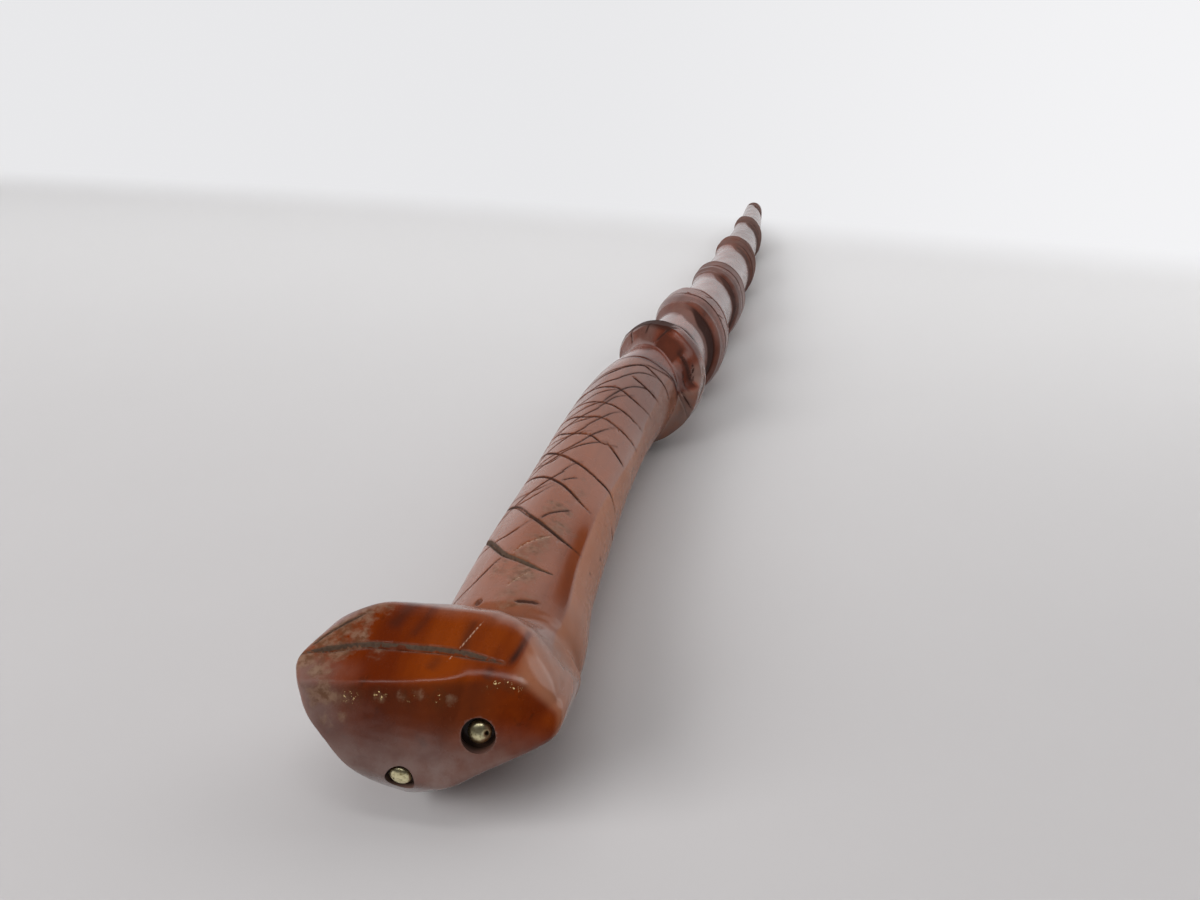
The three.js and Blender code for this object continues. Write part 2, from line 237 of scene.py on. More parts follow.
def coil_parts(along, turn):
    """How far the carved coil stands out of the round, on which lap, and how far from its middle."""
    along, turn = np.broadcast_arrays(np.asarray(along, float), np.asarray(turn, float))
    relief = np.zeros(along.shape)
    lap_there = np.zeros(along.shape)
    away_there = np.full(along.shape, 30.0)
    for lap in range(-1, 6):
        laps = lap + turn / (2 * np.pi)
        away = along - coil_middle(laps)
        value = coil_relief(laps, away)
        wins = np.abs(value) > np.abs(relief)
        near = (away > -50) & (away < 16) & ((relief == 0) | wins)
        relief = np.where(wins, value, relief)
        lap_there = np.where(near, laps, lap_there)
        away_there = np.where(near, away, away_there)
    return relief, lap_there, away_there


def stick_round(along, turn):
    """The stick's radius after carving, without its cuts; the turn is in radians."""
    swell = np.exp(-(((along - 46) / 28) ** 2)) * np.maximum(np.cos(turn - np.radians(22)), 0) ** 2
    flat = np.exp(-((degrees_from(turn, 58) / 26) ** 2)) * (1 - ease(255, 300, along))
    ridge = np.maximum(1 - np.abs(degrees_from(turn, neck_ridge(along))) / 17, 0)
    ridge = ridge * within(36, 60, 225, 250, along)
    reach = round_at(along) + 7 * swell - 1.2 * flat + 0.55 * ridge
    coiled = along > 250
    if np.any(coiled):
        reach = np.array(reach, float)
        along, turn = np.broadcast_arrays(along, turn)
        reach[coiled] += coil_parts(along[coiled], turn[coiled])[0]
    return reach


def out_from_line(along, turn, reach):
    """The point this far out from the stick's middle line; the turn is in radians."""
    x = side_at(along) + reach * np.cos(turn)
    z = above_at(along) + reach * np.sin(turn)
    return np.stack([x, along, z], -1)


def on_stick(along, turn):
    """The point on the stick's surface at a place along it and a turn round it in degrees."""
    along, turn = np.broadcast_arrays(np.asarray(along, float), np.radians(np.asarray(turn, float)))
    return out_from_line(along, turn, stick_round(along, turn))


def stick_place(points):
    """How far each point is along the stick, round it in radians, and out from its middle line."""
    x = points[:, 0] - side_at(points[:, 1])
    z = points[:, 2] - above_at(points[:, 1])
    return points[:, 1], np.arctan2(z, x), np.hypot(x, z)


def face_pulls(ways):
    """How strongly each flat face of the head holds the surface in, one row for each face."""
    pull = []
    for face, reach in HEAD_FACES.values():
        face = np.array(face, float)
        face /= np.linalg.norm(face)
        pull.append(np.maximum(ways @ face, 1e-6) / reach)
    return np.stack(pull)


def head_reach(ways):
    """How far the head's surface is from its middle: flat faces with rounded edges, softest at the heel."""
    pull = face_pulls(ways)
    most = pull.max(0)
    soft = ease(0.15, 0.45, ways[:, 0]) * ease(0.1, 0.4, ways[:, 2])
    sharp = HEAD_SHARPNESS + (HEEL_SHARPNESS - HEAD_SHARPNESS) * soft
    return ((pull / most) ** sharp).sum(0) ** (-1 / sharp) / most


def face_shares(points):
    """How far each point belongs to each face of the head, by the face's name."""
    q = points - HEAD_MIDDLE
    pull = face_pulls(q / np.linalg.norm(q, axis=1)[:, None])
    share = (pull / pull.max(0)) ** 60
    share = share / share.sum(0)
    return {name: share[k] for k, name in enumerate(HEAD_FACES)}


def handle_field(points):
    """Below zero inside the handle: the head and the neck run into each other."""
    along, turn, out = stick_place(points)
    field = out - stick_round(along, turn)
    near = along < 75
    q = points[near] - HEAD_MIDDLE
    far = np.linalg.norm(q, axis=1)
    head = far - head_reach(q / far[:, None])
    fade = 0.028 * np.maximum(47 - along[near], 0) ** 2
    neck = np.maximum(field[near] + fade, NECK_START - along[near])
    soft = 2 + 8 * ease(-14, 4, points[near, 0])
    share = np.clip(0.5 + 0.5 * (neck - head) / soft, 0, 1)
    field[near] = neck + (head - neck) * share - soft * share * (1 - share)
    return field


def field_slope(points):
    """Which way the handle's field rises, and how fast."""
    step = 0.02
    slope = np.zeros_like(points)
    for k in range(3):
        move = np.zeros(3)
        move[k] = step
        slope[:, k] = (handle_field(points + move) - handle_field(points - move)) / (2 * step)
    return slope


def onto_handle(points, rounds=4):
    """The points moved to the handle's surface."""
    for _ in range(rounds):
        slope = field_slope(points)
        points = points - slope * (handle_field(points) / np.maximum((slope ** 2).sum(1), 1e-6))[:, None]
    return points


# The carver's cuts
def band_line(first, last, offset, swing=0.0, beats=0.0):
    """A line that runs along the coil from lap to lap, at an offset from the middle of its top."""
    laps = np.arange(first, last + 0.001, 0.045)
    sway = swing * (np.abs(((laps * beats) % 1) * 2 - 1) * 2 - 1) if beats else 0
    return list(zip(coil_middle(laps) + offset + sway, 360 * laps))


# Cuts that come again and again: how wide, how deep and how dirty.
LARGE_SCALE = (1.33, 0.8, 1)
SHORT_CUT = (0.83, 0.3, 0.7)
LONG_CUT = (0.92, 0.35, 0.7)
EDGE_NICK = (1.1, 0.6, 0.9)
EDGE_STEP = (1.0, 0.7, 1)

# Each cut on the stick: how wide, how deep, how dirty (below zero, a pale line of clean wood and painted
# highlight), and its points as (along, turn in degrees).
NECK_CUTS = [
    (2.28, 1.2, 1.25, [(92, 144), (76, 110), (72, 97), (68, 71), (68, 57)]),
    (1.71, 0.96, 1.1, [(111, 126), (99, 98), (92, 70), (89, 39)]),
    (1.42, 0.8, 1, [(133, 114), (127, 90), (120, 60), (117, 45)]),
    (1.42, 0.88, 1, [(163, 146), (151, 101), (146, 81), (143, 54), (137, 11)]),
    (1.23, 0.72, 1, [(179, 136), (173, 107), (173, 84), (171, 66), (176, 45)]),
    (1.33, 0.88, 1, [(174, 60), (166, 28)]),
    (*LARGE_SCALE, [(193, 124), (190, 100), (192, 80), (191, 59), (188, 17)]),
    (*LARGE_SCALE, [(207, 116), (207, 83), (207, 65), (205, 23)]),
    (*LARGE_SCALE, [(224, 100), (225, 83), (222, 59), (221, 21)]),
    (*LARGE_SCALE, [(241, 76), (239, 58), (237, 26)]),
    (*LARGE_SCALE, [(240, 114), (249, 95), (257, 75), (256.5, 62), (254.5, 42), (252.5, 25), (252, 11)]),
    (*SHORT_CUT, [(56, 128), (62, 117), (70, 108), (72, 104)]),
    # pale lines on worn edges of the scales: bare wood and a painted highlight
    (0.5, 0.25, -1, [(54, 87), (59, 82), (64, 75)]),
    (0.6, 0.3, -1, [(74.5, 97), (79.5, 92), (84.5, 83), (91, 69)]),
    (*LONG_CUT, [(85, 124), (88.5, 110), (97, 96)]),
    (*LONG_CUT, [(98, 89), (102, 85), (106.5, 76), (111.5, 64)]),
    (*SHORT_CUT, [(121, 142), (120, 116), (126, 95)]),
    (*SHORT_CUT, [(111.5, 125), (116.5, 107), (124.5, 92)]),
    (*LONG_CUT, [(131, 98), (137, 92), (144.5, 84), (149, 75)]),
    (0.74, 0.25, 0.7, [(129, 87), (132.5, 80), (135, 73)]),
    (*SHORT_CUT, [(150, 146), (145.5, 116), (154, 99)]),
    (*LONG_CUT, [(146.5, 117), (154, 104), (162, 87), (171, 67), (175.5, 59)]),
    (*SHORT_CUT, [(170, 141), (170, 113), (177, 84)]),
    (*LONG_CUT, [(155, 109), (163.5, 92), (174.5, 80), (185, 66), (193, 51)]),
    (*SHORT_CUT, [(183, 127), (187, 100), (193, 85)]),
    (*LONG_CUT, [(173, 103), (183, 91), (194, 78), (200, 71), (207.5, 58)]),
    (*SHORT_CUT, [(196, 124), (202, 104), (210, 84)]),
    (*LONG_CUT, [(193, 102), (204.5, 88), (216, 78), (226, 57)]),
    (*SHORT_CUT, [(209, 123), (217, 102), (225, 77)]),
    (1.01, 0.4, 0.7, [(204, 92), (216.5, 84), (229, 72), (236, 57), (240, 38)]),
    (*SHORT_CUT, [(224, 122), (231, 100), (240.5, 80)]),
    (1.1, 0.4, 0.7, [(231, 100), (239, 86), (247.5, 72), (252, 57), (254.5, 39)]),
    (*SHORT_CUT, [(241.5, 124), (248, 102), (259, 74)]),
    (1.01, 0.4, 0.7, [(259, 74), (261, 57), (263, 42), (264, 28)]),
    (2.28, 1.12, 0.5, [(45, 105), (48, 103)]),
    (1.5, 0.7, 0.7, [(47.2, 74), (48.8, 64), (49.6, 57)]),
]

# Nicks on the plain side of the neck.
NECK_NICKS = [
    (*SHORT_CUT, [(127.8, 10), (126.7, 2), (129, -8), (133, -16)]),
    # a pale fleck: a painted glint
    (0.74, 0.25, -1, [(171.5, 12), (173.4, 10.6)]),
    (0.74, 0.25, 0.7, [(87, 21.5), (88.2, 21)]),
    (0.74, 0.25, 0.7, [(102.4, 12.4), (103.6, 12.2)]),
]

# The steps and grooves of the coil's turns, the folds at its start, and nicks in its edges.
SHAFT_CUTS = [
    (1.6, 1, 0.4, band_line(0.9, 1.2, -26.8)),
    (1.4, 0.9, 0.4, band_line(1.88, 2.24, -25.5)),
    (1.3, 0.7, 0.65, band_line(2.86, 3.26, -23)),
    (1.2, 0.6, 0.6, band_line(3.86, 4.26, -22)),
    (1.5, 1.1, 1, band_line(0.92, 1.34, -12.6)),
    (1.3, 0.9, 1, band_line(1.88, 2.36, -11.8)),
    (1.1, 0.8, 1, band_line(2.9, 3.32, -11)),
    (1.1, 0.7, 1, band_line(0.98, 1.26, 1.5, 1.8, 11)),
    (0.9, 0.6, 1, band_line(1.98, 2.32, 2, 1.5, 11)),
    (1.6, 1.1, 1, [(282.5, 50), (278.5, 30), (274, 10.3)]),
    (1.4, 1.1, 1, [(281, 31), (277.6, 20), (274, 10.3)]),
    (0.9, 0.5, 0.8, [(276, 30), (272, 16), (270.2, 5)]),
    (*EDGE_NICK, [(304, 127), (302.5, 131), (299.7, 137)]),
    (*EDGE_NICK, [(299.5, 101), (296.5, 108.5)]),
    (*EDGE_NICK, [(289, 90), (291, 86), (292.6, 81), (297.5, 68.8)]),
    (*EDGE_STEP, [(268, 9), (267.4, -3), (268, -13)]),
    (1.1, 0.8, 1, [(284, 14), (281, 4), (276, -3), (272, -8)]),
    # a pale line: a painted highlight on the coil's edge
    (0.8, 0.4, -1, [(285, 24), (282.6, 18), (281, 13)]),
    (*EDGE_STEP, [(381, 68), (386, 57)]),
    (*EDGE_STEP, [(366, 42), (371, 31)]),
    (*EDGE_STEP, [(385, 96), (379, 88)]),
]

# Cuts on the head, as points in space: the mouth, a crack along the snout's ridge and a scratch.
HEAD_CUTS = [
    (2.5, 1.6, 1.4, [
        (-61.2, 10, 46), (-56.7, 11.2, 47), (-52.7, 12.4, 47.4), (-48.1, 14, 47.8), (-43.2, 15.2, 48.1),
        (-37.3, 15.9, 48.3), (-33.2, 16.2, 48.4), (-27.8, 16.5, 48.4), (-22.9, 16.9, 48.5),
        (-17.2, 16.9, 48.5), (-11.3, 16.6, 48.4), (-4.7, 16.4, 48.3),
    ]),
    (1.1, 0.7, 1.2, [(-59.6, 12.6, 46.7), (-56.5, 18, 47.8), (-52.3, 22.8, 48.9), (-47.7, 27, 49.8)]),
    (0.45, 0.05, -0.55, [(-14.2, 29.2, 50.5), (-17.8, 18.5, 48.4), (-19.8, 13.8, 47.5)]),
]

# Dark streaks in the cheek's wood: width, strength and path.
HEAD_STREAKS = [
    (1.1, 1.105, [(-0.8, 32.6, 49.5), (-0.9, 24.5, 50.2), (-2.1, 19, 48.9), (-3.3, 14.5, 47.8)]),
    (1.6, 0.585, [(-16.7, 29.7, 51.7), (-17, 21.5, 49.7), (-15.9, 14.9, 48)]),
    (1.2, 0.455, [(-33, 19, 48.4), (-31, 26, 49.6), (-29.6, 34, 51)]),
    (2.2, 0.585, [(-40, 21, 48.6), (-37, 30, 50.2), (-35.5, 36, 51)]),
    (1.2, 0.52, [(-8, 10, 47), (-7, 15, 48)]),
    (1.8, 0.39, [(-24, 10, 47), (-21.5, 15.5, 48)]),
]

# Where the varnish of the head has gone and the wood is grey: place, reach and strength.
HEAD_WEAR = [
    ((-59.2, 8.4, 46.1), 5, 1), ((-56.8, 15.5, 47.4), 5, 1), ((-53.2, 20.7, 48.5), 5, 1),
    ((-49.1, 25.2, 49.4), 4.4, 1), ((-44.8, 28.7, 50.2), 3.4, 0.9), ((-54, 5.7, 45.7), 4.5, 0.8),
    ((-50.5, 12, 46.9), 4.4, 0.9), ((-47.2, 16.9, 47.8), 4, 0.9), ((-40.5, 13.2, 47.2), 2.6, 0.7),
    ((-51.1, 0.5, 41.9), 4.2, 0.9), ((-46.1, 0.6, 40.7), 3, 0.6), ((-34.6, 2.4, 42), 1.9, 0.55),
    ((-29, 3.4, 42.2), 1.9, 0.5), ((-24, 4.2, 42.5), 2.1, 0.6), ((-16.1, 5.4, 41.7), 2.1, 0.5),
    ((-49.4, -1.6, 35.1), 2.6, 0.8), ((-44.5, -0.7, 36.3), 2.2, 0.6),
]
# The same on the neck, with places along it and round it in degrees.
NECK_WEAR = [
    ((66, 103), 6, 0.5), ((75, 85), 7, 0.65), ((62, 80), 8, 0.7), ((97, 70), 7, 0.65),
    ((108, 74), 7, 0.6), ((124, 66), 5, 0.6), ((86, 76), 7, 0.6), ((48, 75), 7, 0.6),
    ((136, 62), 4, 0.4),
]
# Where flakes of the head's varnish have lifted: place, reach and strength.
HEAD_FLECKS = [
    ((-2.4, 10.8, 45.5), 2.2, 1), ((0.3, 10.8, 44.7), 1.8, 1), ((2.5, 11.7, 45.1), 2, 0.9),
    ((-5.6, 10.1, 45.5), 2, 1), ((-6.6, 9, 44.2), 1.8, 0.8), ((-34.8, 2.9, 42.6), 2.6, 0.7),
    ((-42.9, 1.5, 41.6), 3, 0.7), ((-18.9, 5.4, 42.2), 3, 0.6), ((-27, 4, 42.5), 2.5, 0.6),
]

# How far a point counts as lying beside a cut.
CUT_REACH = 2
# A neck cut that starts past the first of these turns is carried on to the second, out of sight.
LAST_TURN_SEEN, FAR_TURN = 98, 176


def curve_through(points, fine):
    """Points along a smooth curve through the given ones, no further apart than fine."""
    points = np.asarray(points, float)
    ends = np.vstack([2 * points[0] - points[1], points, 2 * points[-1] - points[-2]])
    path = []
    for a, b, c, d in zip(ends[:-3], ends[1:-2], ends[2:-1], ends[3:]):
        steps = max(int(np.linalg.norm(c - b) / fine), 2)
        t = np.arange(steps)[:, None] / steps
        bend = (2 * a - 5 * b + 4 * c - d) * t ** 2 + (3 * b - a - 3 * c + d) * t ** 3
        path.append(0.5 * (2 * b + (c - a) * t + bend))
    path.append(points[-1:])
    return np.vstack(path)


def nearest_on(path, points):
    """How far each point lies from a path, and how far along the path its nearest place is."""
    best = np.full(len(points), 1e9)
    share = np.zeros(len(points))
    last = len(path) - 1
    for i in range(last):
        a = path[i]
        edge = path[i + 1] - a
        t = np.clip((points - a) @ edge / max(edge @ edge, 1e-12), 0, 1)
        gap = np.linalg.norm(points - a - t[:, None] * edge, axis=1)
        closer = gap < best
        best = np.where(closer, gap, best)
        share = np.where(closer, (i + t) / last, share)
    return best, share


def near_path(path, points, reach):
    """Which points are in the box round a path."""
    return np.where(np.all((points > path.min(0) - reach) & (points < path.max(0) + reach), axis=1))[0]


def carve(points, cuts):
    """How deep each point is cut, how far it lies from the nearest cut's edge, and how dirty that cut is;
    below zero the cut paints a pale line, partly a painted highlight.
    """
    depth = np.zeros(len(points))
    edge = np.full(len(points), float(CUT_REACH))
    grime_and_glint = np.zeros(len(points))
    for width, deep, dirt_and_glint, path in cuts:
        near = near_path(path, points, width / 2 + CUT_REACH)
        if len(near) == 0:
            continue
        best, share = nearest_on(path, points[near])
        taper = 0.3 + 0.7 * ease(0, 0.14, share) * ease(0, 0.2, 1 - share)
        half = width / 2 * taper
        depth[near] = np.maximum(depth[near], deep * taper * np.clip(1 - best / half, 0, 1))
        gap = best - half
        closer = gap < edge[near]
        edge[near] = np.where(closer, gap, edge[near])
        grime_and_glint[near] = np.where(closer, dirt_and_glint, grime_and_glint[near])
    return depth, np.maximum(edge, -1), grime_and_glint


def carried_round(places):
    """A cut that starts on the far side of the neck is carried on round it, out of the camera's sight."""
    (along, turn), (along_next, turn_next) = places[:2]
    if turn < LAST_TURN_SEEN or along < 50:
        return places
    slope = (along - along_next) / (turn - turn_next)
    return [(along + 0.6 * slope * (FAR_TURN - turn), FAR_TURN)] + places


def stick_cuts(cuts):
    """The cuts with their paths as points on the stick's surface."""
    made = []
    for width, deep, dirt_and_glint, places in cuts:
        path = curve_through(places, 3)
        made.append((width, deep, dirt_and_glint, on_stick(path[:, 0], path[:, 1])))
    return made


def handle_cuts():
    carried = [(width, deep, dirt_and_glint, carried_round(places)) for width, deep, dirt_and_glint, places in NECK_CUTS]
    made = stick_cuts(carried + NECK_NICKS)
    for width, deep, dirt_and_glint, places in HEAD_CUTS:
        made.append((width, deep, dirt_and_glint, onto_handle(curve_through(places, 1))))
    return made


# What the wood's finish is painted by
def neck_side(along, turn):
    """The plain side of the neck, below its ridge; the turn is in degrees."""
    ridge = neck_ridge(along)
    return within(-118, -80, ridge - 1.5, ridge + 1.5, turn)


def beside_ridge(along, turn):
    """The orange streak on the neck, just above the ridge, from the head to the second large scale."""
    ridge = neck_ridge(along)
    return within(ridge - 0.5, ridge + 3, ridge + 6, ridge + 28, turn) * within(40, 58, 98, 128, along)


def on_heel(shares):
    return shares["heel"] + shares["heel_above"] + shares["heel_back"]


def handle_tone(points):
    """Above zero where the wood is darker: stain and dark streaks, and painted shade on the crown; below zero
    where it is paler: lighter wood, with painted light on the neck's plain side and a painted reflection on
    the heel.
    """
    along, turn = stick_place(points)[:2]
    turn = np.degrees(turn)
    neck = within(27, 36, 262, 265, along)
    shares = face_shares(points)
    # the neck is paler, its plain side most: lighter wood, and painted light where that side is in shade
    tone = -neck * (0.4 + 0.55 * neck_side(along, turn)) * (1 - 0.55 * ease(170, 250, along))
    # the heel is painted paler, as lighter wood and a painted reflection of the pale wall; the crown's face
    # by the neck is darker on its part by the eye
    by_eye = 0.05 + 0.5 * (1 - ease(-11, 0, points[:, 0]))
    tone -= (1 - neck) * (along < 60) * (0.8 * on_heel(shares) - by_eye * shares["crown_by_neck"])
    # the crown and the brow are painted darker, as painted shade
    tone += 0.6 * (1 - neck) * (shares["crown_by_nose"] + shares["crown_below"] + shares["brow"])
    tone = tone * (1 - 0.65 * beside_ridge(along, turn))
    tone += 0.6 * ease(262.6, 264.6, along)
    for width, strength, places in HEAD_STREAKS:
        path = onto_handle(curve_through(places, 1))
        near = near_path(path, points, 3 * width)
        best, share = nearest_on(path, points[near])
        ends = ease(0, 0.2, share) * ease(0, 0.25, 1 - share)
        tone[near] += strength * np.exp(-((best / width) ** 2)) * ends
    return tone


def handle_varnish(points):
    """How much varnish is left, from 0 to 1: the cheek is rubbed to a satin, the neck's side is half bare."""
    along, turn = stick_place(points)[:2]
    turn = np.degrees(turn)
    head = sum(share * FACE_VARNISH.get(name, 1) for name, share in face_shares(points).items())
    neck = 0.72 - 0.42 * neck_side(along, turn)
    varnish = head + (neck - head) * ease(28, 37, along)
    return varnish * (1 - 0.97 * beside_ridge(along, turn))


def handle_painted_sheen(points):
    """A greyish painted sheen, a painted reflection of the pale floor and wall, on the snout, low on the
    crown, on the heel, at the neck's root and near the neck's end.
    """
    along = points[:, 1]
    on_head = 1 - ease(32, 44, along)
    front = 1 - ease(5, 12, along)
    low = 0.8 * (1 - ease(22, 38, points[:, 2]))
    snout = 0.75 * (1 - ease(-58, -38, points[:, 0]))
    heel = 0.3 * on_head * on_heel(face_shares(points))
    root = 0.25 * within(26, 33, 50, 66, along)
    neck_end = 0.35 * within(185, 255, 262, 265, along)
    return on_head * front * np.maximum(low, snout) + neck_end + heel + root * (1 - heel)


def spotted(points, spots):
    """Soft round spots on the wood; each has a place, a reach and a strength."""
    shade = np.zeros(len(points))
    for place, reach, strength in spots:
        gap = np.linalg.norm(points - place, axis=1)
        shade = np.maximum(shade, strength * np.exp(-((gap / reach) ** 2)))
    return shade


def handle_flecks(points):
    """Where the varnish on the brow's edge has lifted in bright flakes."""
    return spotted(points, HEAD_FLECKS)


def handle_wear(points):
    """How far the varnish has gone."""
    on_neck = [(on_stick(*place), reach, strength) for place, reach, strength in NECK_WEAR]
    return spotted(points, HEAD_WEAR + on_neck)


def coil_looks(points):
    """How dark, how thick the varnish and how strong the painted sheen is on each zone of the coils: the
    darkness is partly stain and partly painted shade, the sheen a painted reflection.
    """
    along, turn = stick_place(points)[:2]
    relief, laps, away = coil_parts(along, turn)
    # the later turns: a flank a little darker as painted shade, a hollow that narrows to a wedge, painted
    # dark as painted shade, a reddish strip and a pale outer strip, with painted sheen on the flank and
    # strips
    later = ease(0.8, 0.9, laps)
    part = laps - np.round(laps)
    foot = -41 + 10 * ease(0.14, 0.22, part) + 6 * ease(1.6, 2, laps) * (1 - ease(0.12, 0.22, part))
    hollow = within(foot - 1.5, foot + 1.5, -27, -25, away)
    hollow = hollow * (1 - ease(0.19, 0.26, part)) * (1 - 0.35 * ease(1.6, 2.6, laps))
    foot = -47 + 9 * ease(1.6, 2, laps) + 9 * ease(0.2, 0.27, part)
    flank = within(foot - 1.5, foot + 1.5, -27, -25, away)
    strip = within(-26.5, -24.5, -17.5, -15.5, away)
    outer = within(-17, -15, 3, 9, away)
    tone = later * (0.95 * hollow + (1 - hollow) * 0.3 * flank + 0.4 * strip + 0.15 * outer)
    varnish = 1 - later * (hollow + (1 - hollow) * 0.85 * flank + 0.75 * strip + 0.7 * outer)
    painted_sheen = later * (0.3 * outer + 0.3 * strip + 0.4 * flank)
    # the first turn: a pale outer flank with painted sheen, a red rim, an orange facet, a dark wedge and its
    # low part darkened as painted shade, and a pinkish lobe painted paler with painted sheen, as painted
    # light on its shaded side
    first = ease(0, 0.03, relief) * (laps > -0.4) * (laps < 0.6) * (away < 15)
    around = 360 * laps
    lobe = np.maximum(1 - ease(4, 9, around), (1 - ease(22, 34, around)) * ease(-7.5, -5.5, away))
    pale = ease(84, 104, around) * (1 - ease(-5.5, -3.5, away))
    rim = within(66, 80, 150, 170, around) * within(-6, -4, 6, 10, away)
    orange = within(44, 52, 84, 92, around) * (1 - ease(-6.5, -4.5, away))
    red = within(14, 22, 60, 72, around) * within(-7, -5, 1, 4, away) * (1 - lobe)
    wedge = within(4, 9, 40, 60, around) * within(-10, -8, -7.5, -5.5, away)
    low = within(4, 9, 46, 54, around) * (1 - ease(-9.5, -8, away))
    dark = 0.9 * rim + 0.3 * red + 0.7 * wedge + 0.2 * low + 0.65 * orange + 0.35 * pale
    dull = 0.9 * rim + orange + 0.75 * red + 0.95 * wedge + 0.5 * low + 0.35 * lobe + 0.3 * pale
    tone += first * (dark - 0.7 * lobe)
    varnish -= first * dull
    painted_sheen += first * (0.45 * pale + 0.8 * lobe + 0.1 * red)
    # the wood just behind the first turn, painted darker as painted shade
    behind = within(3, 6, 28, 33, along - coil_middle(turn / (2 * np.pi))) * within(0.2, 0.5, 1.7, 2.1, turn)
    tone += 0.9 * behind
    varnish -= behind
    # the stick is duller and darker towards its tip, and dark at the seam
    varnish -= 0.45 * ease(400, 640, along)
    tone += 0.2 * ease(500, 760, along) + 0.5 * (1 - ease(267, 270, along)) * (away < -16)
    # the painted sheen leaves the shaded hollows and grows towards the tip
    painted_sheen = painted_sheen * (1 - later * hollow) + 0.3 * ease(420, 640, along)
    return tone, np.clip(varnish, 0, 1), np.clip(painted_sheen, 0, 1)


# Mesh helpers
def mesh_from(name, points, faces):
    """A mesh from numpy arrays, all faces with the same number of corners."""
    mesh = bpy.data.meshes.new(name)
    corners = faces.shape[1]
    mesh.vertices.add(len(points))
    mesh.vertices.foreach_set("co", np.asarray(points, np.float32).ravel())
    mesh.loops.add(faces.size)
    mesh.loops.foreach_set("vertex_index", faces.astype(np.int32).ravel())
    mesh.polygons.add(len(faces))
    mesh.polygons.foreach_set("loop_start", np.arange(0, faces.size, corners, dtype=np.int32))
    mesh.polygons.foreach_set("loop_total", np.full(len(faces), corners, np.int32))
    mesh.update(calc_edges=True)
    mesh.validate()
    return mesh


def points_of(mesh):
    flat = np.zeros(len(mesh.vertices) * 3, np.float32)
    mesh.vertices.foreach_get("co", flat)
    return flat.reshape(-1, 3).astype(float)


def set_points(mesh, points):
    mesh.vertices.foreach_set("co", np.asarray(points, np.float32).ravel())
    mesh.update()


def object_of(name, data):
    thing = bpy.data.objects.new(name, data)
    bpy.context.collection.objects.link(thing)
    return thing


def applied(thing, kind, **settings):
    """The mesh that a modifier leaves."""
    modifier = thing.modifiers.new(kind, kind)
    for key, value in settings.items():
        setattr(modifier, key, value)
    return baked(thing)


def grown(thing, tree, values):
    """The mesh that a geometry tree leaves, its inputs set by their names."""
    modifier = thing.modifiers.new(tree.name, "NODES")
    modifier.node_group = tree
    for item in tree.interface.items_tree:
        if item.item_type == "SOCKET" and item.in_out == "INPUT" and item.name in values:
            modifier[item.identifier] = values[item.name]
    return baked(thing)


def baked(thing):
    """The modifiers are applied and gone."""
    graph = bpy.context.evaluated_depsgraph_get()
    made = bpy.data.meshes.new_from_object(
        thing.evaluated_get(graph), preserve_all_data_layers=True, depsgraph=graph)
    thing.modifiers.clear()
    old = thing.data
    thing.data = made
    bpy.data.meshes.remove(old)
    return made


def thinned(thing, triangles):
    """A mesh of four-sided faces thinned to at most this many triangles."""
    return applied(thing, "DECIMATE", ratio=min(1, triangles / (2 * len(thing.data.polygons))))


@contextlib.contextmanager
def reshaping(mesh):
    """The mesh's faces and edges, to work on; the mesh takes up the change at the end."""
    shape = bmesh.new()
    shape.from_mesh(mesh)
    yield shape
    shape.to_mesh(mesh)
    shape.free()


def store(mesh, name, values):
    attribute = mesh.attributes.get(name) or mesh.attributes.new(name, "FLOAT", "POINT")
    attribute.data.foreach_set("value", np.asarray(values, np.float32))


def outward_faces(mesh):
    with reshaping(mesh) as shape:
        bmesh.ops.recalc_face_normals(shape, faces=shape.faces)


def sawn_at_seam(mesh, keep_head_side):
    """The wood ends flat at the seam, with half the seam's gap to it."""
    side = -1 if keep_head_side else 1
    with reshaping(mesh) as shape:
        cut = bmesh.ops.bisect_plane(
            shape, geom=shape.verts[:] + shape.edges[:] + shape.faces[:],
            plane_co=(0, SEAM + side * SEAM_GAP / 2, 0), plane_no=(0, -side, 0), clear_outer=True)
        edges = [part for part in cut["geom_cut"] if isinstance(part, bmesh.types.BMEdge)]
        bmesh.ops.holes_fill(shape, edges=edges)
        bmesh.ops.recalc_face_normals(shape, faces=shape.faces)


def drilled(thing, bits):
    """Each drill bit is taken out of the wood by itself."""
    for points, faces in bits:
        bit = mesh_from("drill_bit", points, faces)
        outward_faces(bit)
        tool = object_of("drill_bit", bit)
        applied(thing, "BOOLEAN", operation="DIFFERENCE", object=tool, solver="MANIFOLD")
        bpy.data.objects.remove(tool)
    with reshaping(thing.data) as shape:
        bmesh.ops.triangulate(shape, faces=shape.faces)
    return thing.data


def round_body(rings):
    """A closed body from rings of equal size, with fans at both ends."""
    count = len(rings[0])
    points = np.vstack(rings + [rings[0].mean(0)[None], rings[-1].mean(0)[None]])
    k = np.arange(count)
    after = (k + 1) % count
    faces = []
    for i in range(len(rings) - 1):
        a, b = i * count + k, i * count + after
        faces.append(np.stack([a, b, b + count], -1))
        faces.append(np.stack([a, b + count, a + count], -1))
    first = len(rings) * count
    faces.append(np.stack([np.full(count, first), after, k], -1))
    last = (len(rings) - 1) * count
    faces.append(np.stack([np.full(count, first + 1), last + k, last + after], -1))
    return points, np.vstack(faces)


def drill_bit(start, end, reach, sides):
    """A round bar from start to end, for a hole."""
    start = np.asarray(start, float)
    end = np.asarray(end, float)
    way = (end - start) / np.linalg.norm(end - start)
    across = np.cross(way, [0.3, 0.2, 0.9])
    across /= np.linalg.norm(across)
    other = np.cross(way, across)
    turn = 2 * np.pi * np.arange(sides) / sides
    ring = reach * (np.cos(turn)[:, None] * across + np.sin(turn)[:, None] * other)
    return round_body([start + ring, end + ring])


